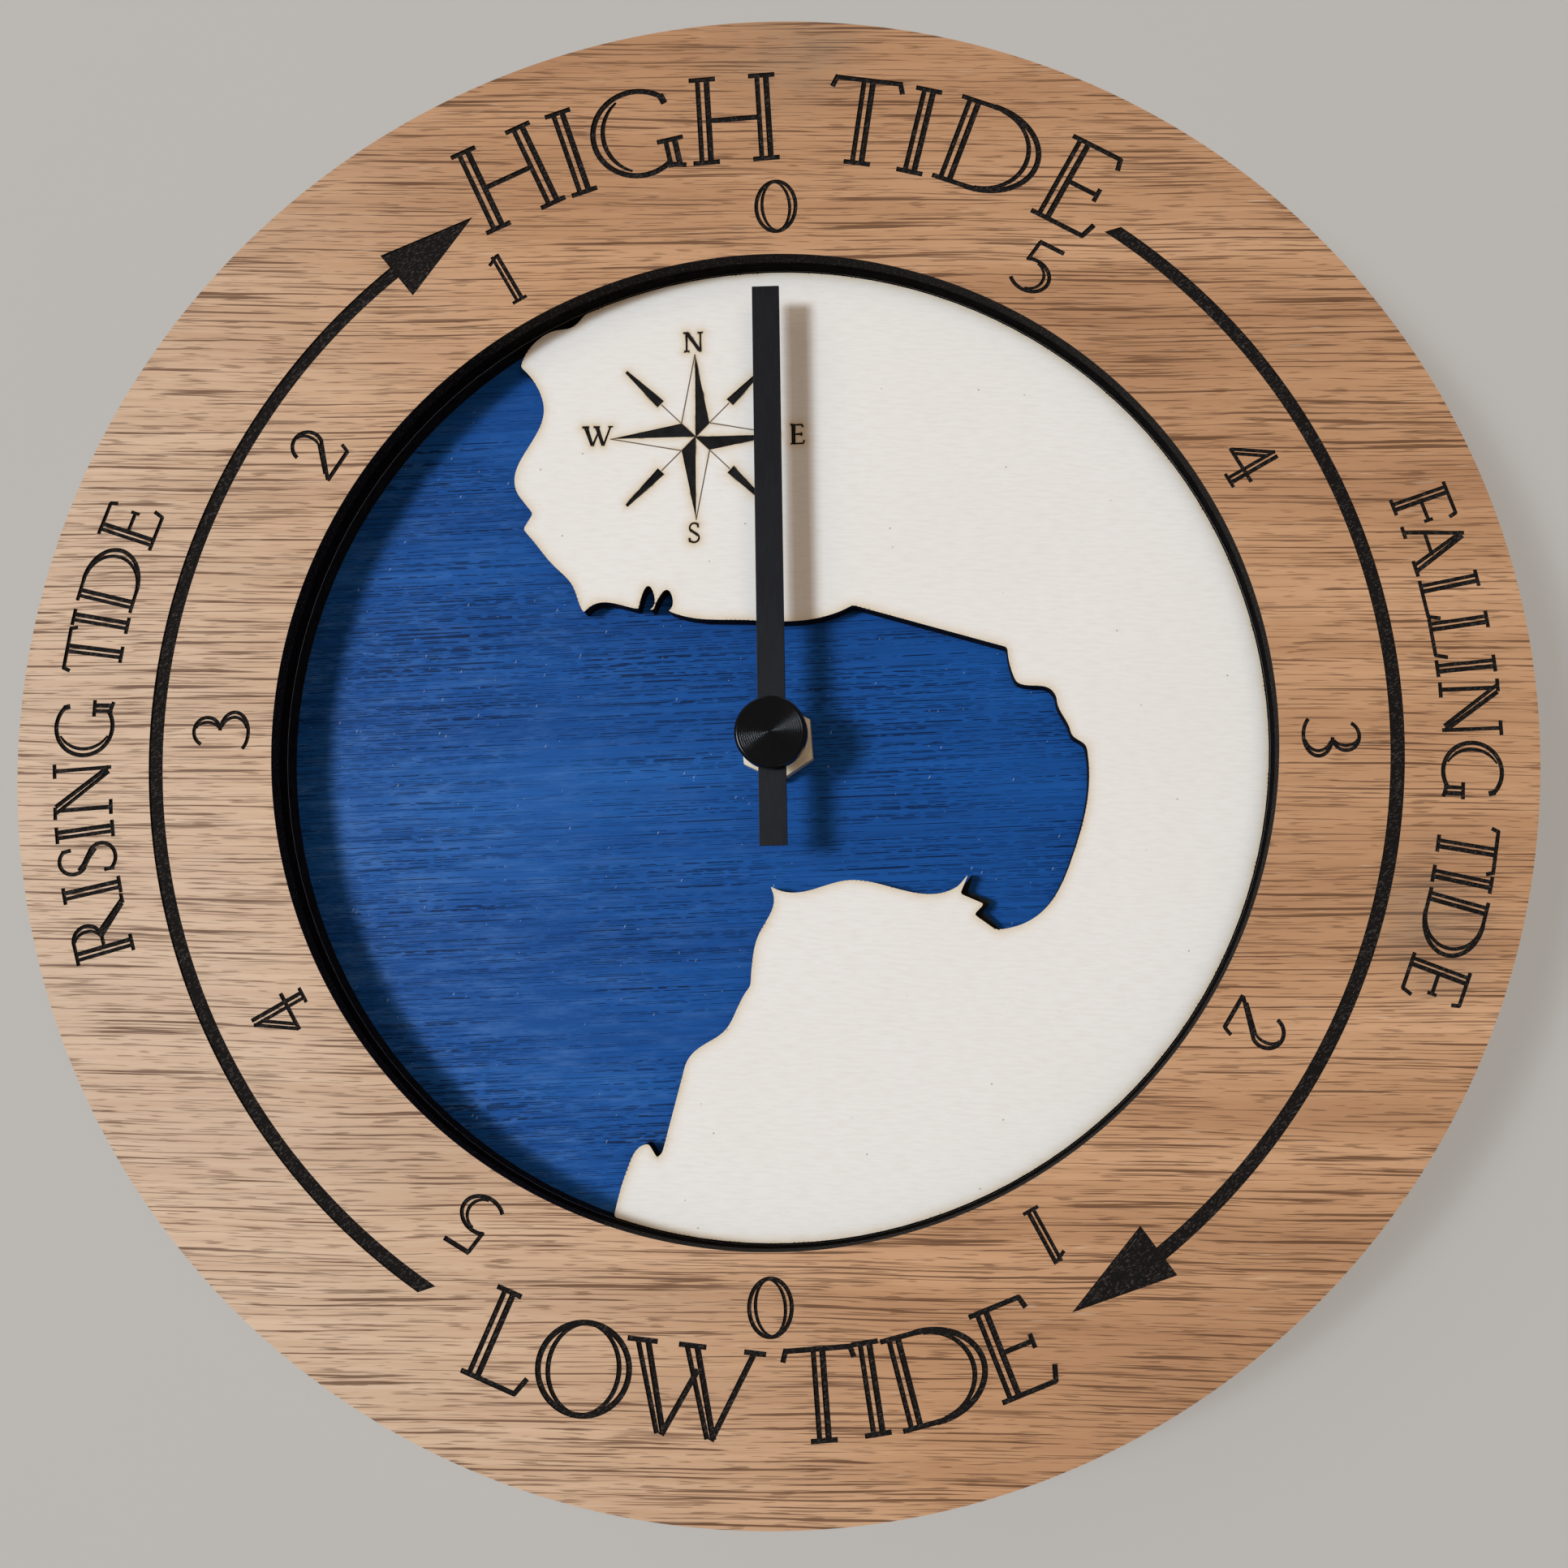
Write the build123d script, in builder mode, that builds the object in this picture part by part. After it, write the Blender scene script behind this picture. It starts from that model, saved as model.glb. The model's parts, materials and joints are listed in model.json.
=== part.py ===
# Wall tide clock: a stack of cut plywood sheets on a one-hand quartz tide movement.
# The face looks along -Y, +Z is up, and the hand's shaft is the Y axis.
import os
from math import cos, radians, sin

from build123d import *

# Dial sheets
outer_diameter = 300.0
ring_width = 50.6  # outer edge to the opening
ring_thickness = 3.6
spacer_thickness = 3.6
land_thickness = 4.2
sea_thickness = 4.0
land_gap = 0.35  # cut between the land insert and the ring left of its sheet

# Hand and cap
hand_tip_gap = 7.4  # hand's tip short of the opening
hand_tail = 22.0
hand_width = 5.5
hand_thickness = 0.6
hand_boss_radius = 5.4
hand_lean = 1.9  # degrees left of upright
hand_lift = 0.5  # hand's back in front of the dial ring's face
cap_radius = 7.1
cap_height = 3.2
cap_edge = 0.8  # rounding of the cap's front edge

# Threaded bush and what it clamps
bush_radius = 5.0
bush_flange_radius = 6.2
bush_flange_thickness = 0.6
bush_proud = 2.0  # thread in front of the nut
bush_clearance = 0.15
nut_across_flats = 14.0
nut_thickness = 3.0
nut_bevel = 0.6
nut_turn = 35.0  # degrees, from a corner pointing right
washer_radius = 6.9
washer_thickness = 0.5
seal_radius = 10.0
seal_thickness = 1.0

# Hanger, a strip bent over the top of the movement
hanger_thickness = 0.8
hanger_width = 24.0
hanger_foot = 12.0  # below the shaft
hanger_tab = 13.2  # upright part behind, above its bend
hanger_bend = 0.8  # inside radius of both bends
hanger_corner = 6.0
hanger_case_gap = 1.0
hanger_wall_gap = 2.0
nail_hole_radius = 2.5
nail_hole_rise = 7.2  # above the bend

# Movement housing
case_width = 56.0
case_height = 56.0
case_depth = 16.5
case_wall = 1.5
case_corner = 4.0
cover_thickness = 1.5
cover_seam = 0.1
partition_thickness = 1.0
plate_thickness = 0.8
plate_edge = 3.2  # plate round each post
plate_gap = 0.3
post_radius = 2.0
post_gap = 1.1  # to the circuit board
post_from_stator = 5.3
gear_room_foot = 10.9  # partition below the shaft
cover_room = 1.2  # last wheel to the back cover

# Gears: tooth sizes as shares of the module, tooth widths as shares of the tooth pitch
gear_module = 0.34
addendum = 0.75
dedendum = 1.15
root_share = 0.27
tip_share = 0.1
tide_teeth = 40
minute_pinion_teeth = 12
minute_teeth = 41
cannon_teeth = 11
train_teeth = 40
train_pinion_teeth = 10
wheel_thickness = 1.0
pinion_overhang = 0.2  # pinion past each side of its wheel
minute_direction = 135.0  # degrees from +X, seen from the front
third_direction = 35.0
second_direction = 150.0  # from the third wheel
rotor_direction = 180.0  # from the second wheel

# Arbors and running fits
running = 0.05
end_play = 0.3
press_gap = 0.02
pipe_radius = 2.5
pipe_tip_radius = 2.0
pipe_tip_past_hand = 1.0
arbor_radius = 1.2
arbor_in_pipe = 4.0  # in front of the case's inner face
collar_radius = 2.0
collar_thickness = 0.4
hub_radius = 2.4
minute_post_radius = 1.0
staff_radius = 0.9
pivot_radius = 0.5
pivot_depth = 0.8
knob_radius = 6.0
knob_gap = 0.5
knob_sunk = 0.4  # knob's back in front of the wall plane
knob_flutes = 18
flute_depth = 0.5
flute_width = 0.4  # share of the flutes' pitch

# Stepping motor
magnet_radius = 2.6
magnet_air_gap = 0.4
magnet_length = 2.8
magnet_lift = 0.9  # above the middle plate
stator_thickness = 0.8
stator_lift = 1.9
stator_collar = 4.4
stator_arm = 1.5
stator_bend = 5.8  # from the core to the corner of the lower arm
stator_post_radius = 1.1
stator_post_distance = 5.5  # from the rotor
coil_length = 10.3
coil_wall_gap = 1.3
coil_radius = 2.4
coil_flange_radius = 2.9
coil_flange_thickness = 0.8
core_width = 2.0
core_thickness = 0.8
core_past_coil = 5.2
core_gap = 0.7  # to the partition

# Electronics and cell
board_width = 12.0
board_height = 7.0
board_thickness = 1.0
board_lift = 1.0  # above the middle plate
chip_radius = 2.2
chip_height = 0.7
crystal_radius = 1.0
crystal_length = 6.0
cell_clearance = 0.2
cell_bevel = 0.5
nub_radius = 2.75
nub_length = 1.0
contact_thickness = 0.4
spring_room = 1.7  # between the cell and the negative contact
contact_tab_width = 3.0
contact_tab_reach = 3.0  # above the partition
spring_margin = 0.8  # contact plate above and below the spring
spring_width = 6.0

# The coast from the top of the opening to its foot: rounded and jagged stretches in turn,
# drawn for an opening of coast_radius and scaled with it
coast_radius = 99.4
north_cape = [(-37.2, 92.8), (-41.8, 89.7), (-44.6, 86.9), (-47.9, 86.3), (-50.9, 84.7), (-54.8, 78.4)]
west_bay = [(-54.8, 78.4), (-51.3, 74.3), (-49.6, 68.9), (-52.4, 61.4), (-55.2, 54.8), (-54.2, 50.8)]
west_rocks = [(-54.2, 50.8), (-51.1, 47.0), (-53.0, 43.7)]
west_point = [(-53.0, 43.7), (-50.3, 40.6), (-46.5, 36.1), (-42.3, 31.7), (-40.9, 28.0), (-39.9, 26.2)]
low_beach = [(-39.9, 26.2), (-36.3, 28.4), (-32.4, 27.9), (-28.6, 27.0)]
first_slip = [(-28.6, 27.0), (-28.2, 29.6), (-26.7, 32.0), (-25.9, 30.9), (-26.6, 26.9)]
slip_wall = [(-26.6, 26.9), (-25.5, 26.9)]
second_slip = [(-25.5, 26.9), (-24.5, 29.7), (-22.9, 31.2), (-21.9, 29.8), (-22.7, 26.7)]
long_beach = [(-22.7, 26.7), (-16.5, 25.1), (-7.6, 24.9), (0.0, 24.6), (9.8, 25.8), (15.1, 28.1)]
sea_wall = [(15.1, 28.1), (46.6, 19.5)]
first_step = [(46.6, 19.5), (47.1, 15.9), (48.4, 12.4)]
second_step = [(48.4, 12.4), (50.3, 11.7), (54.0, 11.5), (56.6, 9.1)]
third_step = [(56.6, 9.1), (56.9, 7.3), (58.6, 4.3), (59.4, 2.1)]
fourth_step = [(59.4, 2.1), (60.5, 0.8), (62.0, -0.1), (62.7, -1.4)]
east_bay = [(62.7, -1.4), (63.0, -9.0), (59.9, -22.4), (54.9, -32.7), (44.4, -37.7)]
harbour = [(44.4, -37.7), (40.1, -34.7), (42.1, -32.6), (37.3, -30.6), (38.9, -26.7), (37.0, -29.0)]
south_bay = [(37.0, -29.0), (33.6, -30.5), (23.5, -29.4), (14.7, -28.1), (4.2, -30.7), (-0.7, -29.4)]
south_point = [(-0.7, -29.4), (0.1, -33.0), (-2.8, -39.1), (-4.0, -45.0), (-4.2, -49.2)]
south_shore = [(-4.2, -49.2), (-6.5, -53.1), (-9.1, -58.1), (-14.4, -61.7), (-17.1, -66.2)]
south_cliff = [(-17.1, -66.2), (-20.9, -82.0), (-21.9, -83.0), (-23.6, -80.3)]
south_cape = [(-23.6, -80.3), (-25.4, -80.9), (-27.4, -84.3), (-29.0, -89.4), (-30.2, -95.0)]
landward = [(-30.2, -95.0), (-42.0, -160.0), (190.0, -160.0), (190.0, 150.0), (5.0, 150.0), (-37.2, 92.8)]

# Depths from the wall to the front of the cap
opening_radius = outer_diameter / 2 - ring_width
hand_reach = opening_radius - hand_tip_gap
dial_depth = sea_thickness + land_thickness + spacer_thickness + ring_thickness
hand_depth = hand_lift + hand_thickness + cap_height
total_depth = case_depth + hanger_thickness + seal_thickness + dial_depth + hand_depth
y_wall = total_depth / 2
y_cover = y_wall - cover_thickness
y_case = y_wall - case_depth
y_inside = y_case + case_wall
y_hanger = y_case - hanger_thickness
y_sea_back = y_hanger - seal_thickness
y_sea = y_sea_back - sea_thickness
y_land = y_sea - land_thickness
y_spacer = y_land - spacer_thickness
y_ring = y_spacer - ring_thickness
y_hand_back = y_ring - hand_lift
y_hand = y_hand_back - hand_thickness
y_washer = y_sea - washer_thickness
y_nut = y_washer - nut_thickness
y_bush = y_nut - bush_proud

# Levels inside the case, each wheel behind the one before; equal gaps part the wheels
inside_depth = case_depth - case_wall - cover_thickness
wheel_stack = 5 * wheel_thickness + 3 * end_play + bush_flange_thickness + plate_thickness + collar_thickness
level_gap = (inside_depth - cover_room - wheel_stack) / 4
tide_front = y_inside + bush_flange_thickness + end_play
tide_back = tide_front + wheel_thickness
minute_front = tide_back + level_gap
minute_back = minute_front + wheel_thickness
plate_front = minute_back + level_gap
plate_back = plate_front + plate_thickness
centre_front = plate_back + end_play
centre_back = centre_front + wheel_thickness
collar_front = centre_back + end_play
third_front = collar_front + collar_thickness + level_gap
third_back = third_front + wheel_thickness
second_front = third_back + level_gap
second_back = second_front + wheel_thickness
knob_front = second_back + end_play
knob_back = y_wall - knob_sunk
magnet_front = plate_back + magnet_lift
stator_front = plate_back + stator_lift
stator_back = stator_front + stator_thickness
core_back = stator_back + core_thickness
y_coil = stator_back + core_thickness / 2

# Battery bay along the foot of the case, filled by the cell, and the gear room over it
inner_width = case_width - 2 * case_wall
inner_height = case_height - 2 * case_wall
cell_radius = (case_depth - case_wall) / 2 - 2 * cell_clearance
bay_height = 2 * (cell_radius + cell_clearance)
partition_top = -gear_room_foot
partition_foot = partition_top - partition_thickness
bay_foot = partition_foot - bay_height
inner_top = bay_foot + inner_height
case_top = inner_top + case_wall
case_z = case_top - case_height / 2
partition_width = inner_width - 2 * (contact_thickness + cell_clearance)
z_cell = bay_foot + bay_height / 2
y_cell = y_inside + cell_radius + cell_clearance
contact_x = inner_width / 2 - contact_thickness
contact_size = bay_height - 2 * (case_corner - case_wall)
spring_height = contact_size - 2 * spring_margin
cell_front_x = contact_x - nub_length
cell_back_x = spring_room - contact_x
cell_length = cell_front_x - cell_back_x

# The circuit board beside the positive contact, the coil beside the opposite wall, and four
# posts that hold the middle plate clear of them
board_x = contact_x - board_width / 2
coil_x = coil_wall_gap + coil_flange_radius - inner_width / 2
stator_corner_x = coil_x + stator_bend
core_foot = partition_top + core_gap
coil_bottom = core_foot + core_past_coil
coil_top = coil_bottom + coil_length
core_head = coil_top + core_past_coil
post_foot = partition_top + plate_edge + plate_gap
post_head = inner_top - plate_edge - plate_gap
post_side = inner_width / 2 - plate_edge - plate_gap
left_post = (stator_corner_x + post_from_stator, post_foot)
right_post = (board_x - board_width / 2 - post_gap - post_radius, post_foot)
post_places = [left_post, right_post, (post_side, post_head), (-post_side, post_head)]


# A plane across the shaft at depth y, with X and Z as its axes; extrusions come forward from it
def at(y):
    return Plane.XZ.offset(-y)


def polar(distance, angle, origin=(0.0, 0.0)):
    return (origin[0] + distance * cos(radians(angle)), origin[1] + distance * sin(radians(angle)))


# A round bar along the shaft direction
def rod(radius, front, back, centre=(0.0, 0.0)):
    with BuildPart() as bar:
        with BuildSketch(at(back)):
            with Locations(centre):
                Circle(radius)
        extrude(amount=back - front)
    return bar.part


# A flat gear with straight-sided teeth, its first tooth at the given angle
def gear(teeth, first, front, back, centre=(0.0, 0.0)):
    pitch_radius = gear_module * teeth / 2
    root = pitch_radius - gear_module * dedendum
    tip = pitch_radius + gear_module * addendum
    pitch = 360 / teeth
    tooth = [(root, -root_share), (tip, -tip_share), (tip, tip_share), (root, root_share)]
    outline = [polar(r, first + pitch * (n + share), centre) for n in range(teeth) for r, share in tooth]
    with BuildPart() as disc:
        with BuildSketch(at(back)):
            with BuildLine():
                Polyline(*outline, close=True)
            make_face()
        extrude(amount=back - front)
    return disc.part


# First tooth of a gear that meshes with another one lying in the given direction from it
def mesh(driver_teeth, driver_first, teeth, direction):
    offset = (driver_first - direction) * driver_teeth / 360
    return direction + 180 + (0.5 - offset) * 360 / teeth


# A pivoted staff between the middle plate and the back cover
def staff(centre):
    with BuildPart() as shaft:
        add(rod(staff_radius, plate_back + end_play, y_cover - end_play, centre))
        add(rod(pivot_radius, plate_front, plate_back + end_play, centre))
        add(rod(pivot_radius, y_cover - end_play, y_cover + pivot_depth - running, centre))
    return shaft.part


# Places of the wheels
motion_distance = gear_module * (tide_teeth + minute_pinion_teeth) / 2
train_distance = gear_module * (train_teeth + train_pinion_teeth) / 2
minute_axis = polar(motion_distance, minute_direction)
third_axis = polar(train_distance, third_direction)
second_axis = polar(train_distance, second_direction, third_axis)
rotor_axis = polar(train_distance, rotor_direction, second_axis)
upper_seat = (coil_x, core_head - stator_arm)
lower_seat = (coil_x, core_foot + stator_arm)
stator_corner = (stator_corner_x, lower_seat[1])
stator_arm_middle = ((stator_corner[0] + rotor_axis[0]) / 2, (stator_corner[1] + rotor_axis[1]) / 2)
minute_pinion_first = mesh(tide_teeth, 0, minute_pinion_teeth, minute_direction)
cannon_first = mesh(minute_teeth, 0, cannon_teeth, minute_direction + 180)
third_first = mesh(train_teeth, 0, train_pinion_teeth, third_direction)
second_first = mesh(train_teeth, 0, train_pinion_teeth, second_direction)
rotor_first = mesh(train_teeth, 0, train_pinion_teeth, rotor_direction)


# A flat ring of the dial, the opening cut through it
def dial_sheet(back, thickness):
    with BuildPart() as sheet:
        with BuildSketch(at(back)):
            Circle(outer_diameter / 2)
            Circle(opening_radius, mode=Mode.SUBTRACT)
        extrude(amount=thickness)
    return sheet.part


# A stretch of the coast at the opening's real size
def shore(points):
    scale = opening_radius / coast_radius
    return [(scale * x, scale * z) for x, z in points]


# Dial stack
with BuildPart() as dial_ring:
    add(dial_sheet(y_spacer, ring_thickness))

with BuildPart() as spacer_ring:
    add(dial_sheet(y_land, spacer_thickness))

with BuildPart() as land_ring:
    add(dial_sheet(y_sea, land_thickness))

with BuildPart() as land_layer:
    with BuildSketch(at(y_sea)):
        with BuildLine():
            Spline(*shore(north_cape))
            Spline(*shore(west_bay))
            Polyline(*shore(west_rocks))
            Spline(*shore(west_point))
            Spline(*shore(low_beach))
            Spline(*shore(first_slip))
            Polyline(*shore(slip_wall))
            Spline(*shore(second_slip))
            Spline(*shore(long_beach))
            Polyline(*shore(sea_wall))
            Spline(*shore(first_step))
            Spline(*shore(second_step))
            Spline(*shore(third_step))
            Spline(*shore(fourth_step))
            Spline(*shore(east_bay))
            Polyline(*shore(harbour))
            Spline(*shore(south_bay))
            Spline(*shore(south_point))
            Spline(*shore(south_shore))
            Polyline(*shore(south_cliff))
            Spline(*shore(south_cape))
            Polyline(*shore(landward))
        make_face()
        Circle(opening_radius - land_gap, mode=Mode.INTERSECT)
    extrude(amount=land_thickness)

with BuildPart() as sea_panel:
    with BuildSketch(at(y_sea_back)):
        Circle(outer_diameter / 2)
        Circle(bush_radius + bush_clearance, mode=Mode.SUBTRACT)
    extrude(amount=sea_thickness)

# Bush, washers and nut
with BuildPart() as centre_bush:
    add(rod(bush_radius, y_bush, y_inside))
    add(rod(bush_flange_radius, y_inside, y_inside + bush_flange_thickness))
    add(rod(pipe_radius + running, y_bush, y_inside + bush_flange_thickness), mode=Mode.SUBTRACT)

with BuildPart() as sealing_washer:
    add(rod(seal_radius, y_sea_back, y_hanger))
    add(rod(bush_radius + press_gap, y_sea_back, y_hanger), mode=Mode.SUBTRACT)

with BuildPart() as brass_washer:
    add(rod(washer_radius, y_washer, y_sea))
    add(rod(bush_radius + bush_clearance, y_washer, y_sea), mode=Mode.SUBTRACT)

with BuildPart() as hex_nut:
    with BuildSketch(at(y_washer)):
        RegularPolygon(nut_across_flats / 2, 6, major_radius=False, rotation=nut_turn)
        Circle(bush_radius + press_gap, mode=Mode.SUBTRACT)
    extrude(amount=nut_thickness)
    # The front corners are turned off by a cone that starts at the flats
    nut_corner = nut_across_flats / 3**0.5
    with BuildSketch(Plane.XY):
        with BuildLine():
            Polyline(
                (0, y_nut),
                (nut_across_flats / 2, y_nut),
                (nut_corner, y_nut + nut_bevel),
                (nut_corner, y_washer),
                (0, y_washer),
                close=True,
            )
        make_face()
    revolve(axis=Axis.Y, mode=Mode.INTERSECT)

# Hanger
leg_foot = case_top + hanger_case_gap
leg_top = leg_foot + hanger_thickness
hanger_top = leg_top + hanger_tab
tab_back = y_wall - hanger_wall_gap
tab_front = tab_back - hanger_thickness
with BuildPart() as hanger_bracket:
    with BuildSketch(Plane.YZ) as strip:
        with BuildLine():
            Polyline(
                (y_hanger, -hanger_foot),
                (y_case, -hanger_foot),
                (y_case, leg_foot),
                (tab_back, leg_foot),
                (tab_back, hanger_top),
                (tab_front, hanger_top),
                (tab_front, leg_top),
                (y_hanger, leg_top),
                close=True,
            )
        make_face()
        inside_bends = [(y_case, leg_foot), (tab_front, leg_top)]
        outside_bends = [(y_hanger, leg_top), (tab_back, leg_foot)]
        for place in inside_bends:
            fillet(strip.vertices().sort_by_distance(place)[0], hanger_bend)
        for place in outside_bends:
            fillet(strip.vertices().sort_by_distance(place)[0], hanger_bend + hanger_thickness)
    extrude(amount=hanger_width / 2, both=True)
    fillet(hanger_bracket.edges().filter_by(Axis.Y).group_by(Axis.Z)[-1], hanger_corner)
    fillet(hanger_bracket.edges().filter_by(Axis.Y).group_by(Axis.Z)[0], hanger_corner)
    add(rod(nail_hole_radius, tab_front, tab_back, (0, leg_top + nail_hole_rise)), mode=Mode.SUBTRACT)
    add(rod(bush_radius + bush_clearance, y_hanger, y_case), mode=Mode.SUBTRACT)

# Movement housing
with BuildPart() as movement_case:
    with BuildSketch(at(y_wall)):
        with Locations((0, case_z)):
            RectangleRounded(case_width, case_height, case_corner)
    extrude(amount=case_depth)
    with BuildSketch(at(y_wall)):
        with Locations((0, case_z)):
            RectangleRounded(inner_width, inner_height, case_corner - case_wall)
    extrude(amount=case_depth - case_wall, mode=Mode.SUBTRACT)
    with BuildSketch(at(y_cover)):
        with Locations((0, partition_foot)):
            Rectangle(partition_width, partition_thickness, align=(Align.CENTER, Align.MIN))
    extrude(amount=inside_depth)
    # Rim lowered round the gear room, where the back cover lies
    with BuildSketch(at(y_wall)):
        with Locations((0, partition_foot)):
            Rectangle(case_width, case_height, align=(Align.CENTER, Align.MIN))
    extrude(amount=cover_thickness, mode=Mode.SUBTRACT)
    with BuildSketch(at(plate_front)):
        with Locations(*post_places):
            Circle(post_radius)
        with Locations(minute_axis):
            Circle(minute_post_radius)
    extrude(amount=plate_front - y_inside)
    add(rod(bush_radius + press_gap, y_case, y_inside), mode=Mode.SUBTRACT)

with BuildPart() as middle_plate:
    with BuildSketch(at(plate_back)):
        with Locations(*post_places):
            Circle(plate_edge)
        make_hull()
        with Locations(third_axis, second_axis, rotor_axis):
            Circle(pivot_radius + running, mode=Mode.SUBTRACT)
        Circle(arbor_radius + running, mode=Mode.SUBTRACT)
    extrude(amount=plate_thickness)
    # Two posts under the stator, one on each of its arms
    with BuildSketch(at(stator_front)):
        with Locations(polar(stator_post_distance, 180, rotor_axis), stator_arm_middle):
            Circle(stator_post_radius)
    extrude(amount=stator_lift)

with BuildPart() as back_cover:
    with BuildSketch(at(y_wall)):
        with Locations((0, case_z)):
            RectangleRounded(case_width, case_height, case_corner)
        with Locations((0, partition_foot + cover_seam)):
            Rectangle(case_width, case_height, align=(Align.CENTER, Align.MAX), mode=Mode.SUBTRACT)
        Circle(knob_radius + knob_gap, mode=Mode.SUBTRACT)
    extrude(amount=cover_thickness)
    with BuildSketch(at(y_cover)):
        with Locations(*post_places):
            Circle(post_radius)
    extrude(amount=y_cover - plate_back)
    with BuildSketch(at(y_cover + pivot_depth)):
        with Locations(third_axis, second_axis, rotor_axis):
            Circle(pivot_radius + running)
    extrude(amount=pivot_depth, mode=Mode.SUBTRACT)

# Tide wheel with the pipe that carries the hand, and the hand on it
pipe_tip = y_hand - pipe_tip_past_hand
with BuildPart() as tide_wheel:
    add(gear(tide_teeth, 0, tide_front, tide_back))
    add(rod(pipe_radius, y_hand_back, tide_back))
    add(rod(pipe_tip_radius, pipe_tip, y_hand_back))
    add(rod(arbor_radius + running, y_inside - arbor_in_pipe - end_play, tide_back), mode=Mode.SUBTRACT)

with BuildPart() as tide_hand:
    with BuildSketch(at(y_hand_back)):
        with Locations(Location((0, 0, 0), (0, 0, hand_lean))):
            Rectangle(hand_width, hand_reach, align=(Align.CENTER, Align.MIN))
            Rectangle(hand_width, hand_tail, align=(Align.CENTER, Align.MAX))
        Circle(hand_boss_radius)
        Circle(pipe_tip_radius + press_gap, mode=Mode.SUBTRACT)
    extrude(amount=hand_thickness)

with BuildPart() as hand_cap:
    add(rod(cap_radius, y_hand - cap_height, y_hand))
    fillet(hand_cap.edges().filter_by(GeomType.CIRCLE).sort_by(Axis.Y)[0], cap_edge)
    add(rod(pipe_tip_radius + press_gap, pipe_tip - press_gap, y_hand), mode=Mode.SUBTRACT)

# Motion work
with BuildPart() as minute_wheel:
    add(gear(minute_teeth, 0, minute_front, minute_back, minute_axis))
    add(gear(minute_pinion_teeth, minute_pinion_first, y_inside + end_play, minute_front, minute_axis))
    add(rod(hub_radius, minute_back, plate_front - end_play, minute_axis))
    bore = rod(minute_post_radius + running, y_inside + end_play, plate_front - end_play, minute_axis)
    add(bore, mode=Mode.SUBTRACT)

with BuildPart() as centre_arbor:
    add(rod(arbor_radius, y_inside - arbor_in_pipe, knob_front))
    add(gear(cannon_teeth, cannon_first, minute_front - pinion_overhang, minute_back + pinion_overhang))
    add(rod(collar_radius, collar_front, collar_front + collar_thickness))
    add(rod(pipe_tip_radius, knob_front - collar_thickness, knob_front))

with BuildPart() as setting_knob:
    slope = flute_width / 2
    flute = [(knob_radius - flute_depth, 0), (knob_radius, slope), (knob_radius, 1 - slope)]
    flute_pitch = 360 / knob_flutes
    outline = [polar(r, flute_pitch * (n + share)) for n in range(knob_flutes) for r, share in flute]
    with BuildSketch(at(knob_back)):
        with BuildLine():
            Polyline(*outline, close=True)
        make_face()
    extrude(amount=knob_back - knob_front)

# Going train
with BuildPart() as centre_wheel:
    add(gear(train_teeth, 0, centre_front, centre_back))
    add(rod(hub_radius, plate_back + running, collar_front - running))
    add(rod(arbor_radius + running, plate_back, collar_front), mode=Mode.SUBTRACT)

with BuildPart() as third_wheel:
    add(staff(third_axis))
    add(gear(train_teeth, 0, third_front, third_back, third_axis))
    leaf_front, leaf_back = centre_front - pinion_overhang, centre_back + pinion_overhang
    add(gear(train_pinion_teeth, third_first, leaf_front, leaf_back, third_axis))

with BuildPart() as second_wheel:
    add(staff(second_axis))
    add(gear(train_teeth, 0, second_front, second_back, second_axis))
    leaf_front, leaf_back = third_front - pinion_overhang, third_back + pinion_overhang
    add(gear(train_pinion_teeth, second_first, leaf_front, leaf_back, second_axis))

# Stepping motor
with BuildPart() as motor_rotor:
    add(staff(rotor_axis))
    add(rod(magnet_radius, magnet_front, magnet_front + magnet_length, rotor_axis))
    leaf_front, leaf_back = second_front - pinion_overhang, second_back + pinion_overhang
    add(gear(train_pinion_teeth, rotor_first, leaf_front, leaf_back, rotor_axis))

with BuildPart() as stator_plate:
    with BuildSketch(at(stator_back)):
        with Locations(upper_seat):
            Circle(stator_arm)
        with Locations(rotor_axis):
            Circle(stator_collar)
        make_hull()
    extrude(amount=stator_thickness)
    with BuildSketch(at(stator_back)):
        with Locations(lower_seat, stator_corner):
            Circle(stator_arm)
        make_hull()
    extrude(amount=stator_thickness)
    with BuildSketch(at(stator_back)):
        with Locations(stator_corner, rotor_axis):
            Circle(stator_arm)
        make_hull()
    extrude(amount=stator_thickness)
    air = rod(magnet_radius + magnet_air_gap, stator_front, stator_back, rotor_axis)
    add(air, mode=Mode.SUBTRACT)

with BuildPart() as coil_core:
    with BuildSketch(at(core_back)):
        with Locations((coil_x, core_foot)):
            Rectangle(core_width, core_head - core_foot, align=(Align.CENTER, Align.MIN))
    extrude(amount=core_thickness)

with BuildPart() as drive_coil:
    with BuildSketch(Plane.XY.offset(coil_bottom)):
        with Locations((coil_x, y_coil)):
            Circle(coil_radius)
    extrude(amount=coil_top - coil_bottom)
    for flange_foot in (coil_bottom, coil_top - coil_flange_thickness):
        with BuildSketch(Plane.XY.offset(flange_foot)):
            with Locations((coil_x, y_coil)):
                Circle(coil_flange_radius)
        extrude(amount=coil_flange_thickness)
    with BuildSketch(Plane.XY.offset(coil_bottom)):
        with Locations((coil_x, y_coil)):
            Rectangle(core_width + 2 * running, core_thickness + 2 * running)
    extrude(amount=coil_top - coil_bottom, mode=Mode.SUBTRACT)

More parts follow.
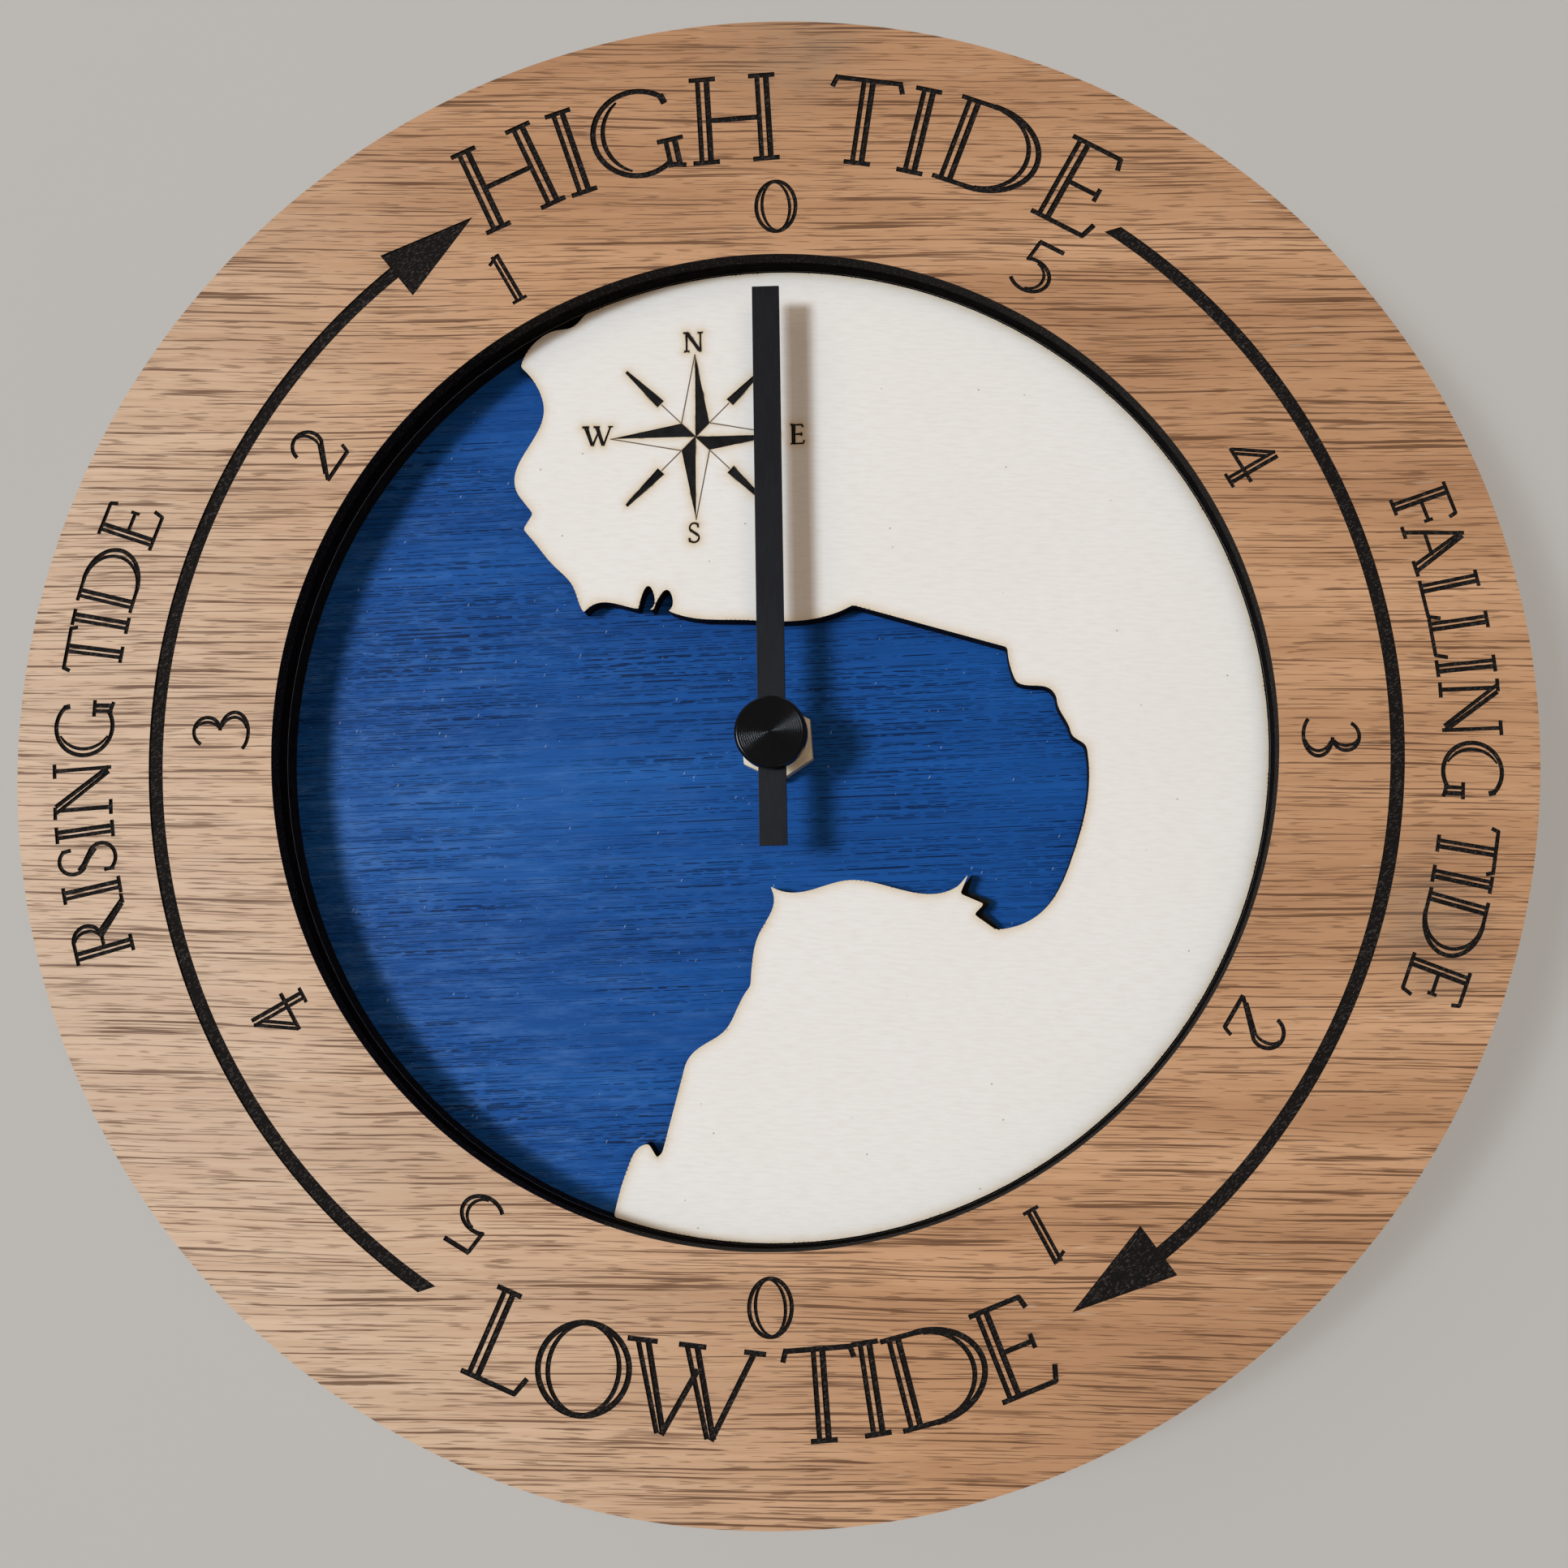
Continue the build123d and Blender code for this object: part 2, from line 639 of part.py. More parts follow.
# Electronics, stood on the partition beside the positive contact's tab
board_z = partition_top + board_height / 2
board_back = plate_back + board_lift + board_thickness
with BuildPart() as circuit_board:
    with BuildSketch(at(board_back)):
        with Locations((board_x, board_z)):
            Rectangle(board_width, board_height)
    extrude(amount=board_thickness)
    add(rod(chip_radius, board_back - board_thickness - chip_height, board_back, (board_x, board_z)))

with BuildPart() as quartz_crystal:
    with BuildSketch(Plane.YZ.offset(board_x - crystal_length / 2)):
        with Locations((board_back + crystal_radius + running, board_z)):
            Circle(crystal_radius)
    extrude(amount=crystal_length)

# Cell and its contacts
with BuildPart() as battery_cell:
    with BuildSketch(Plane.YZ.offset(cell_back_x)):
        with Locations((y_cell, z_cell)):
            Circle(cell_radius)
    extrude(amount=cell_length)
    chamfer(battery_cell.edges().filter_by(GeomType.CIRCLE), cell_bevel)
    with BuildSketch(Plane.YZ.offset(cell_front_x)):
        with Locations((y_cell, z_cell)):
            Circle(nub_radius)
    extrude(amount=nub_length)


# A square contact plate with a tab that runs up past the partition, its inner side at x
def contact_plate(x):
    tab_height = partition_top + contact_tab_reach - z_cell
    with BuildPart() as plate:
        with BuildSketch(Plane.YZ.offset(x)):
            with Locations((y_cell, z_cell)):
                Rectangle(contact_size, contact_size)
                Rectangle(contact_tab_width, tab_height, align=(Align.CENTER, Align.MIN))
        extrude(amount=contact_thickness)
    return plate.part


with BuildPart() as positive_contact:
    add(contact_plate(contact_x))

spring_foot = (-contact_x, z_cell - spring_height / 2)
spring_head = (-contact_x, z_cell + spring_height / 2)
with BuildPart() as negative_contact:
    add(contact_plate(-contact_x - contact_thickness))
    with BuildSketch(at(y_cell + spring_width / 2)):
        with BuildLine():
            ThreePointArc(spring_foot, (cell_back_x, z_cell), spring_head)
            Line(spring_head, (-contact_x, spring_head[1] - contact_thickness))
            ThreePointArc(
                (-contact_x, spring_head[1] - contact_thickness),
                (cell_back_x - contact_thickness, z_cell),
                (-contact_x, spring_foot[1] + contact_thickness),
            )
            Line((-contact_x, spring_foot[1] + contact_thickness), spring_foot)
        make_face()
    extrude(amount=spring_width)

# Written pieces, each under its own name
pieces = {
    "dial_ring": dial_ring,
    "spacer_ring": spacer_ring,
    "land_ring": land_ring,
    "land_layer": land_layer,
    "sea_panel": sea_panel,
    "centre_bush": centre_bush,
    "sealing_washer": sealing_washer,
    "brass_washer": brass_washer,
    "hex_nut": hex_nut,
    "hanger_bracket": hanger_bracket,
    "movement_case": movement_case,
    "middle_plate": middle_plate,
    "back_cover": back_cover,
    "tide_wheel": tide_wheel,
    "tide_hand": tide_hand,
    "hand_cap": hand_cap,
    "minute_wheel": minute_wheel,
    "centre_arbor": centre_arbor,
    "setting_knob": setting_knob,
    "centre_wheel": centre_wheel,
    "third_wheel": third_wheel,
    "second_wheel": second_wheel,
    "motor_rotor": motor_rotor,
    "stator_plate": stator_plate,
    "coil_core": coil_core,
    "drive_coil": drive_coil,
    "circuit_board": circuit_board,
    "quartz_crystal": quartz_crystal,
    "battery_cell": battery_cell,
    "positive_contact": positive_contact,
    "negative_contact": negative_contact,
}
os.makedirs("parts", exist_ok=True)
for name, piece in pieces.items():
    piece.part.label = name
    export_step(piece.part, f"parts/{name}.step")
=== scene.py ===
import json

import bmesh
import bpy
import numpy as np
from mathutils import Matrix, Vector
from mathutils.geometry import delaunay_2d_cdt

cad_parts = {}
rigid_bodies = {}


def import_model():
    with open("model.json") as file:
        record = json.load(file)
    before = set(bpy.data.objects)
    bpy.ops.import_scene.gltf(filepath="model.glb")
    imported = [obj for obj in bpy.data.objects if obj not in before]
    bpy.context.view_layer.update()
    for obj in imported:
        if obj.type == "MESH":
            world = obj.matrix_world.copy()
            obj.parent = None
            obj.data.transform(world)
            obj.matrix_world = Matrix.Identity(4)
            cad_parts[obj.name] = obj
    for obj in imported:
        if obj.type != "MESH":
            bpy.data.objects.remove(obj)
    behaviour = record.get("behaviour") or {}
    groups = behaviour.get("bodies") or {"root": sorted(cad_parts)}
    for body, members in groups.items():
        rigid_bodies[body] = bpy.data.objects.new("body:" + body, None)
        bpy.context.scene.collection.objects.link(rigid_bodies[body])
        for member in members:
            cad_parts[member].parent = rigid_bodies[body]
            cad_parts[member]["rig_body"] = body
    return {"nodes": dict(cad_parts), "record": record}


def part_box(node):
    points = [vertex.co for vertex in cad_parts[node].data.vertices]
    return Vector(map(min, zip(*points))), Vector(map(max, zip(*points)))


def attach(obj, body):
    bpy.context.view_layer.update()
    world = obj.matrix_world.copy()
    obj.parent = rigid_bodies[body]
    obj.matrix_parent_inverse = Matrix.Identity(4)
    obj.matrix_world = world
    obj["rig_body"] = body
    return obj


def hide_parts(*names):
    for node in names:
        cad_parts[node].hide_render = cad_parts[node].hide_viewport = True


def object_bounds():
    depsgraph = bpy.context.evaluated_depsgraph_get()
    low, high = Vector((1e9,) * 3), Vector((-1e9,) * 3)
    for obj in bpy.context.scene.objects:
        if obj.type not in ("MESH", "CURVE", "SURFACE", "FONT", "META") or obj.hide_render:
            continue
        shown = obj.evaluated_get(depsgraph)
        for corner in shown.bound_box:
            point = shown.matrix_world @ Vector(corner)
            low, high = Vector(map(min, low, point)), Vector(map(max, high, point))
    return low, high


# Wall tide clock: burnt veneer ring, blue sea, pale land and one hand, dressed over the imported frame.
# Shapes are worked out in millimetres and go into the meshes in metres.

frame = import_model()
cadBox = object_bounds()
print("frame loaded:", len(frame["nodes"]), "nodes")


# front and back of a node along the shaft, in millimetres
def depthsOf(node):
    low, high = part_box(node)
    return low.y * 1000, high.y * 1000


# a node with some sockets filled: a socket is linked, anything else is its value
def add(tree, kind, sockets=None, **settings):
    made = tree.nodes.new("ShaderNode" + kind)
    for key, value in settings.items():
        setattr(made, key, value)
    for key, value in (sockets or {}).items():
        if isinstance(value, bpy.types.NodeSocket):
            tree.links.new(value, made.inputs[key])
        else:
            made.inputs[key].default_value = value
    return made


def newFinish(name):
    material = bpy.data.materials.new(name)
    material.use_nodes = True
    tree = material.node_tree
    tree.nodes.clear()
    shader = add(tree, "BsdfPrincipled")
    output = add(tree, "OutputMaterial")
    tree.links.new(shader.outputs["BSDF"], output.inputs["Surface"])
    return material, tree, shader


# the piece's own coordinates in metres, leaned round the shaft, then stretched and shifted
def where(tree, stretch=(1, 1, 1), shift=(0, 0, 0), lean=0):
    own = add(tree, "TexCoord").outputs["Object"]
    own = add(tree, "Mapping", {"Vector": own, "Rotation": (0, np.radians(lean), 0)}).outputs["Vector"]
    return add(tree, "Mapping", {"Vector": own, "Location": shift, "Scale": stretch}).outputs["Vector"]


# the same coordinates as separate X, Y and Z
def axes(tree, *placing):
    return add(tree, "SeparateXYZ", {"Vector": where(tree, *placing)}).outputs


def noise(tree, stretch, detail=4, rough=0.55, shift=(0, 0, 0), lean=0):
    sockets = {"Vector": where(tree, stretch, shift, lean), "Scale": 1, "Detail": detail, "Roughness": rough}
    return add(tree, "TexNoise", sockets).outputs["Fac"]


def sums(tree, operation, first, second=0.0):
    return add(tree, "Math", {0: first, 1: second}, operation=operation).outputs[0]


def times(tree, first, second):
    return sums(tree, "MULTIPLY", first, second)


# value carried from one span to another, held at the ends
def span(tree, value, low, high, toLow=0.0, toHigh=1.0):
    sockets = {"Value": value, "From Min": low, "From Max": high, "To Min": toLow, "To Max": toHigh}
    return add(tree, "MapRange", sockets).outputs[0]


# small marks in a share of the cells over the front: round dust, or fibres where the cells are stretched
def specks(tree, cells, size, share, lean, shift):
    spot = axes(tree, (cells[0], 1, cells[1]), shift, lean)
    flat = add(tree, "CombineXYZ", {"X": spot["X"], "Y": spot["Z"]}).outputs["Vector"]
    cell = add(tree, "TexVoronoi", {"Vector": flat, "Scale": 1.0}, voronoi_dimensions="2D").outputs
    chance = add(tree, "SeparateColor", {"Color": cell["Color"]}).outputs["Red"]
    near = span(tree, cell["Distance"], size, size * 0.5)
    return times(tree, near, span(tree, chance, 1 - share, 1 - share * 0.5))


# two colours mixed by a factor; a colour mix takes them on sockets 6 and 7
def mixed(tree, factor, first, second):
    return add(tree, "Mix", {0: factor, 6: first, 7: second}, data_type="RGBA").outputs[2]


def ramp(tree, value, stops):
    made = add(tree, "ValToRGB", {"Fac": value})
    band = made.color_ramp
    while len(band.elements) < len(stops):
        band.elements.new(0.5)
    for element, (place, colour) in zip(band.elements, stops):
        element.position = place
        element.color = colour
    return made.outputs["Color"]


# a colour made lighter or darker by a factor
def toned(colour, factor):
    return tuple(min(1, c * factor) for c in colour[:3]) + (1,)


def link(tree, source, shader, socket):
    tree.links.new(source, shader.inputs[socket])


def bump(tree, shader, height, strength, distance):
    made = add(tree, "Bump", {"Height": height, "Strength": strength, "Distance": distance})
    link(tree, made.outputs["Normal"], shader, "Normal")


skin = 0.02  # mm behind a front face that still count as the face


# how far behind a front face a point lies: 0 on the face, 1 from `full` millimetres on
def sunk(tree, face, full):
    return span(tree, axes(tree)["Y"], (face + skin) / 1000, (face + full) / 1000)


veneerLook = {
    "pale": (0.680, 0.405, 0.235, 1),
    "mid": (0.563, 0.316, 0.171, 1),
    "deep": (0.410, 0.215, 0.112, 1),
    # pale tone of the flecks, also used for the painted sheen at the lower left
    "sheenAndFleck": (0.715, 0.555, 0.412, 1),
    "streak": (0.130, 0.060, 0.031, 1),
    "burn": (0.0085, 0.0070, 0.0065, 1),
    "burnAsh": (0.060, 0.050, 0.044, 1),
    "burnFull": 0.10,  # mm below the face where the burn is complete
    "smudge": (0.20, 0.165, 0.125, 1),
    # smoky smudges left by the cutter: centre and size along X and Z in metres, strength
    "smudges": [((0.001, 0.143), (0.020, 0.016), 0.40), ((0.128, -0.036), (0.014, 0.020), 0.42)],
}


# brown veneer: slow bands, long dark streaks and short pores along X, burnt wherever the face is cut away
def makeVeneer(look, face):
    material, tree, shader = newFinish("veneer")
    spot = axes(tree)
    x, z = spot["X"], spot["Z"]
    sway = sums(tree, "SUBTRACT", noise(tree, (9, 1, 22), detail=2), 0.5)
    swayed = sums(tree, "ADD", z, times(tree, sway, 0.004))
    along = add(tree, "CombineXYZ", {"X": x, "Y": 0.0, "Z": swayed}).outputs["Vector"]

    def grain(stretch, detail=2, rough=0.5, shift=(0, 0, 0)):
        place = add(tree, "Mapping", {"Vector": along, "Scale": stretch, "Location": shift}).outputs["Vector"]
        sockets = {"Vector": place, "Scale": 1, "Detail": detail, "Roughness": rough}
        return add(tree, "TexNoise", sockets).outputs["Fac"]

    stops = [(0.30, look["deep"]), (0.50, look["mid"]), (0.72, look["pale"])]
    colour = ramp(tree, grain((5, 1, 85), detail=3), stops)
    # painted sheen: paler towards the lower left, where the window's glare falls; darker towards the top
    across = sums(tree, "ADD", x, times(tree, z, 0.35))
    colour = mixed(tree, span(tree, across, -0.015, -0.120, 0.0, 0.75), colour, look["sheenAndFleck"])
    colour = mixed(tree, span(tree, z, 0.075, 0.150, 0.0, 0.45), colour, look["deep"])
    fine = grain((14, 1, 700), detail=5, rough=0.65)
    colour = mixed(tree, span(tree, fine, 0.36, 0.66, 0.0, 0.45), colour, look["deep"])
    # long thin dark lines, closer together in some bands than in others
    crowd = span(tree, grain((3, 1, 45), shift=(5, 0, 1)), 0.36, 0.62, 0.625, 0.560)
    long = sums(tree, "SUBTRACT", grain((21, 1, 1500), shift=(3, 0, 7)), crowd)
    streaks = span(tree, long, 0.0, 0.03)
    colour = mixed(tree, times(tree, streaks, 0.85), colour, look["streak"])
    hairs = span(tree, grain((34, 1, 2300), shift=(6, 0, 4)), 0.575, 0.62)
    colour = mixed(tree, times(tree, hairs, 0.60), colour, look["streak"])
    pores = span(tree, grain((130, 1, 2600), detail=1, shift=(1, 0, 5)), 0.60, 0.66)
    colour = mixed(tree, times(tree, pores, 0.55), colour, look["streak"])
    flecks = span(tree, grain((90, 1, 1500), shift=(8, 0, 2)), 0.66, 0.74)
    colour = mixed(tree, times(tree, flecks, 0.35), colour, look["sheenAndFleck"])

    blot = span(tree, noise(tree, (60, 1, 140), detail=3), 0.3, 0.65)
    for centre, size, strength in look["smudges"]:
        offX = sums(tree, "DIVIDE", sums(tree, "SUBTRACT", x, centre[0]), size[0])
        offZ = sums(tree, "DIVIDE", sums(tree, "SUBTRACT", z, centre[1]), size[1])
        reach = sums(tree, "ADD", times(tree, offX, offX), times(tree, offZ, offZ))
        amount = times(tree, span(tree, reach, 1.0, 0.0, 0.0, strength), blot)
        colour = mixed(tree, amount, colour, look["smudge"])

    ash = span(tree, noise(tree, (1700, 1700, 3800), detail=2, lean=35), 0.55, 0.68, 0.0, 0.85)
    burnt = mixed(tree, ash, look["burn"], look["burnAsh"])
    charred = sunk(tree, face, look["burnFull"])
    link(tree, mixed(tree, charred, colour, burnt), shader, "Base Color")
    polish = span(tree, fine, 0.3, 0.7, 0.54, 0.42)
    link(tree, sums(tree, "MAXIMUM", polish, times(tree, charred, 0.92)), shader, "Roughness")
    shader.inputs["Specular IOR Level"].default_value = 0.13
    dips = sums(tree, "ADD", times(tree, streaks, -0.6), times(tree, pores, -1.0))
    relief = sums(tree, "ADD", dips, times(tree, fine, 0.5))
    bump(tree, shader, relief, strength=0.35, distance=0.00012)
    return material


charLook = {
    "dark": (0.0050, 0.0046, 0.0048, 1),
    "seam": (0.11, 0.085, 0.06, 1),
    "plyPitch": 1.2,  # mm from one seam to the next
    "seamShare": 0.10,
    "seamStrength": 0.25,
}


# laser-cut plywood edge: charred black, paler between the plies
def makeChar(look):
    material, tree, shader = newFinish("charredPly")
    soot = noise(tree, (420, 420, 420), detail=5, rough=0.65)
    ply = sums(tree, "FRACT", times(tree, axes(tree)["Y"], 1000 / look["plyPitch"]))
    seam = span(tree, ply, look["seamShare"], 0.0, 0.0, look["seamStrength"])
    colour = ramp(tree, soot, [(0.3, toned(look["dark"], 0.6)), (0.7, toned(look["dark"], 1.7))])
    link(tree, mixed(tree, seam, colour, look["seam"]), shader, "Base Color")
    shader.inputs["Roughness"].default_value = 0.8
    shader.inputs["Specular IOR Level"].default_value = 0.0
    bump(tree, shader, soot, strength=0.5, distance=0.0002)
    return material


landLook = {
    "white": (0.830, 0.805, 0.775, 1),
    "shade": (0.740, 0.705, 0.665, 1),
    "cloud": (0.76, 0.725, 0.66, 1),
    "amber": (0.60, 0.43, 0.20, 1),
    "brown": (0.070, 0.045, 0.028, 1),
    "char": (0.0060, 0.0055, 0.0058, 1),
    "soot": (0.018, 0.017, 0.018, 1),
    "brownFull": 0.10,  # mm below the face where the scorch is brown
    "charFrom": 0.08,  # mm below the face where the char starts
    "charDeep": 0.16,  # mm over which it becomes complete
}


# pale wash on plywood: faint grain, amber scorch beside every burn, char on the cut walls
def makeLand(look, face):
    material, tree, shader = newFinish("landWash")
    grain = noise(tree, (260, 1, 1700), detail=3, rough=0.6, lean=-2)
    cloud = noise(tree, (20, 20, 26))
    colour = mixed(tree, span(tree, grain, 0.42, 0.70, 0.0, 0.50), look["white"], look["shade"])
    colour = mixed(tree, span(tree, cloud, 0.42, 0.75, 0.0, 0.22), colour, look["cloud"])
    fleck = specks(tree, (110, 130), size=0.030, share=0.15, lean=20, shift=(3, 0, 1))
    colour = mixed(tree, times(tree, fleck, 0.5), colour, look["brown"])
    scorch = add(tree, "Attribute", attribute_name="scorch").outputs["Fac"]
    waver = span(tree, noise(tree, (300, 300, 300), detail=3), 0.3, 0.7, 0.75, 1.15)
    wavy = times(tree, scorch, waver)
    colour = mixed(tree, span(tree, wavy, 0.05, 0.85, 0.0, 0.60), colour, look["amber"])
    colour = mixed(tree, span(tree, wavy, 0.80, 1.0), colour, look["brown"])
    soot = span(tree, noise(tree, (500, 500, 500)), 0.3, 0.75)
    char = mixed(tree, soot, look["char"], look["soot"])
    colour = mixed(tree, sunk(tree, face, look["brownFull"]), colour, look["brown"])
    colour = mixed(tree, sunk(tree, face + look["charFrom"], look["charDeep"]), colour, char)
    link(tree, colour, shader, "Base Color")
    shader.inputs["Roughness"].default_value = 0.72
    shader.inputs["Specular IOR Level"].default_value = 0.08
    bump(tree, shader, grain, strength=0.18, distance=0.00012)
    return material


seaLook = {
    "dim": (0.0073, 0.063, 0.258, 1),
    "blue": (0.0094, 0.083, 0.322, 1),
    "pale": (0.0205, 0.130, 0.430, 1),
    "deep": (0.0050, 0.034, 0.150, 1),
    "pore": (0.0022, 0.007, 0.030, 1),
    # painted sheen for the patches at the lower left of the sea
    "gleam": (0.075, 0.205, 0.520, 1),
    "dust": (0.50, 0.57, 0.66, 1),
    "edge": (0.012, 0.009, 0.008, 1),
    "edgeAsh": (0.05, 0.035, 0.025, 1),
    "edgeFull": 0.10,  # mm behind the face where the edge is charred
    "bare": (0.60, 0.43, 0.27, 1),
    "bareDeep": (0.46, 0.30, 0.17, 1),
    "bareFrom": (0.03, 0.01),  # mm in front of the back where bare wood starts and is complete
    "lean": 3.0,  # degrees that the grain rises to the right
}


# blue stain on plywood: the grain takes it darker, dust shows white, and the back is bare
def makeSea(look, face, back):
    material, tree, shader = newFinish("seaStain")
    spot = axes(tree)

    def grain(stretch, **settings):
        return noise(tree, stretch, lean=look["lean"], **settings)

    stops = [(0.30, look["dim"]), (0.55, look["blue"]), (0.80, look["pale"])]
    colour = ramp(tree, noise(tree, (6, 1, 60)), stops)
    fine = grain((22, 1, 1100), rough=0.65)
    colour = mixed(tree, span(tree, fine, 0.42, 0.70, 0.0, 0.45), colour, look["deep"])
    # painted sheen: paler gleaming patches, strongest towards the lower left where the window's light glances
    # off the varnish
    across = sums(tree, "ADD", spot["X"], times(tree, spot["Z"], 0.5))
    side = span(tree, across, 0.0, -0.100, 0.04, 0.66)
    sheenAndWear = span(tree, grain((75, 1, 420), detail=5, rough=0.72, shift=(5, 0, 2)), 0.47, 0.74)
    colour = mixed(tree, times(tree, sheenAndWear, side), colour, look["gleam"])
    # broken pore lines, close together in patches
    patch = span(tree, noise(tree, (7, 1, 32), detail=2, shift=(2, 0, 5)), 0.36, 0.62, 0.600, 0.515)
    line = sums(tree, "SUBTRACT", grain((22, 1, 5200), detail=1, shift=(4, 0, 9)), patch)
    breaks = span(tree, grain((330, 1, 1500), detail=1, shift=(1, 0, 6)), 0.42, 0.50)
    dashes = times(tree, span(tree, line, 0.0, 0.04), breaks)
    colour = mixed(tree, times(tree, dashes, 0.82), colour, look["pore"])
    dust = specks(tree, (290, 290), size=0.034, share=0.11, lean=0, shift=(7, 0, 3))
    fibres = specks(tree, (150, 640), size=0.062, share=0.06, lean=66, shift=(2, 0, 8))
    marks = sums(tree, "MAXIMUM", dust, fibres)
    colour = mixed(tree, times(tree, marks, 0.55), colour, look["dust"])

    charred = mixed(tree, noise(tree, (420, 420, 420)), look["edge"], look["edgeAsh"])
    colour = mixed(tree, sunk(tree, face, look["edgeFull"]), colour, charred)
    begins, full = look["bareFrom"]
    behind = span(tree, spot["Y"], (back - begins) / 1000, (back - full) / 1000)
    bands = span(tree, noise(tree, (8, 1, 240), detail=5), 0.35, 0.7)
    birch = mixed(tree, bands, look["bare"], look["bareDeep"])
    link(tree, mixed(tree, behind, colour, birch), shader, "Base Color")
    link(tree, span(tree, fine, 0.3, 0.7, 0.36, 0.50), shader, "Roughness")
    shader.inputs["Specular IOR Level"].default_value = 0.08
    relief = sums(tree, "SUBTRACT", times(tree, fine, 0.6), dashes)
    bump(tree, shader, relief, strength=0.4, distance=0.00012)
    return material


# plain moulded or metal finishes: colour varied by a fine noise of the stretch `pit`, with a surface bump
def makeFinish(name, colour, rough, metal=0.0, pit=(900, 900, 900), depth=0.00004, vary=0.25,
               strength=0.3, shine=0.5):
    material, tree, shader = newFinish(name)
    tone = noise(tree, pit, rough=0.6)
    slow = noise(tree, (45, 45, 45), detail=3)
    low, high = toned(colour, 1 - vary), toned(colour, 1 + vary)
    body = mixed(tree, span(tree, tone, 0.3, 0.7), low, high)
    body = mixed(tree, span(tree, slow, 0.35, 0.7, 0.0, 0.4), body, low)
    link(tree, body, shader, "Base Color")
    sheenAndWear = span(tree, slow, 0.3, 0.7, rough * 0.85, min(1, rough * 1.15))
    link(tree, sheenAndWear, shader, "Roughness")
    shader.inputs["Metallic"].default_value = metal
    shader.inputs["Specular IOR Level"].default_value = shine
    bump(tree, shader, tone, strength, depth)
    return material


cellLook = {
    "jacket": (0.040, 0.060, 0.085, 1),
    "scuffed": (0.060, 0.084, 0.112, 1),
    "band": (0.46, 0.45, 0.42, 1),
    "steel": (0.56, 0.57, 0.585, 1),
    "rim": 0.9,  # mm of bare steel at each end
    "bandReach": 12.0,  # mm of the pale band, from the positive end
    "fade": 0.1,  # mm from one to the next
}


# printed jacket of the cell: dark, with a pale band at the positive end and bare steel at both ends
def makeCell(look):
    low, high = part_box("battery_cell")
    way = 1 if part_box("positive_contact")[0][0] > low[0] + (high[0] - low[0]) / 2 else -1
    end = (high[0] if way > 0 else -low[0]) * 1000
    material, tree, shader = newFinish("cellJacket")
    inside = sums(tree, "SUBTRACT", end, times(tree, axes(tree)["X"], way * 1000))
    far = (high[0] - low[0]) * 1000 - look["rim"]
    scuff = span(tree, noise(tree, (120, 600, 600)), 0.35, 0.7)
    colour = mixed(tree, scuff, look["jacket"], look["scuffed"])
    band = span(tree, inside, look["bandReach"] + look["fade"], look["bandReach"])
    colour = mixed(tree, band, colour, look["band"])
    near = span(tree, inside, look["rim"] + look["fade"], look["rim"])
    bare = sums(tree, "MAXIMUM", near, span(tree, inside, far - look["fade"], far))
    link(tree, mixed(tree, bare, colour, look["steel"]), shader, "Base Color")
    link(tree, bare, shader, "Metallic")
    link(tree, span(tree, scuff, 0.0, 1.0, 0.26, 0.36), shader, "Roughness")
    bump(tree, shader, scuff, strength=0.2, distance=0.00003)
    return material


finishes = {
    "oak_veneer": makeVeneer(veneerLook, depthsOf("dial_ring")[0]),
    "charred_ply": makeChar(charLook),
    "land_paint": makeLand(landLook, depthsOf("land_layer")[0]),
    "sea_stain": makeSea(seaLook, *depthsOf("sea_panel")),
    "brass": makeFinish("turnedBrass", (0.94, 0.80, 0.61), 0.32, metal=0.25, pit=(300, 2600, 300),
                        depth=0.00003, vary=0.16),
    "rubber": makeFinish("rubber", (0.030, 0.030, 0.031), 0.75),
    "zinc_steel": makeFinish("zincSteel", (0.56, 0.57, 0.585), 0.34, metal=1.0, pit=(2600, 500, 120),
                             depth=0.00002, vary=0.15),
    "case_plastic": makeFinish("casePlastic", (0.020, 0.020, 0.021), 0.46, pit=(2400, 2400, 2400),
                               depth=0.00008, vary=0.3, strength=0.45),
    "plate_plastic": makeFinish("platePlastic", (0.48, 0.48, 0.46), 0.5),
    "wheel_plastic": makeFinish("wheelPlastic", (0.74, 0.72, 0.66), 0.42, vary=0.06),
    "knob_plastic": makeFinish("knobPlastic", (0.50, 0.045, 0.03), 0.34, vary=0.12),
    "black_metal": makeFinish("blackMetal", (0.0085, 0.0088, 0.0118), 0.42, pit=(1600, 1600, 240),
                              depth=0.00003, vary=0.22, shine=0.24),
    "magnet": makeFinish("magnet", (0.10, 0.10, 0.11), 0.5, metal=0.4),
    "copper_wire": makeFinish("copperWire", (0.58, 0.23, 0.09), 0.36, metal=1.0, pit=(200, 200, 5200),
                              depth=0.00012, vary=0.3, strength=0.7),
    "board": makeFinish("board", (0.02, 0.16, 0.055), 0.42),
    "cell_jacket": makeCell(cellLook),
}
spunBlack = makeFinish("spunBlack", (0.0040, 0.0042, 0.0054), 0.16, pit=(400, 400, 400), depth=0.00001,
                       vary=0.2, shine=0.22)
for row in frame["record"]["subparts"]:
    mesh = frame["nodes"][row["node"]].data
    mesh.materials.clear()
    mesh.materials.append(finishes[row["material_slot"]])
print("finishes made:", len(finishes))


# quads between neighbouring rows of a grid whose columns close on themselves
def bandFaces(rows, columns, closeRows=False):
    r = np.arange(rows if closeRows else rows - 1)[:, None]
    c = np.arange(columns)[None, :]
    below, right = (r + 1) % rows, (c + 1) % columns
    corners = [r * columns + c, r * columns + right, below * columns + right, below * columns + c]
    return np.stack(np.broadcast_arrays(*corners), -1).reshape(-1, 4)


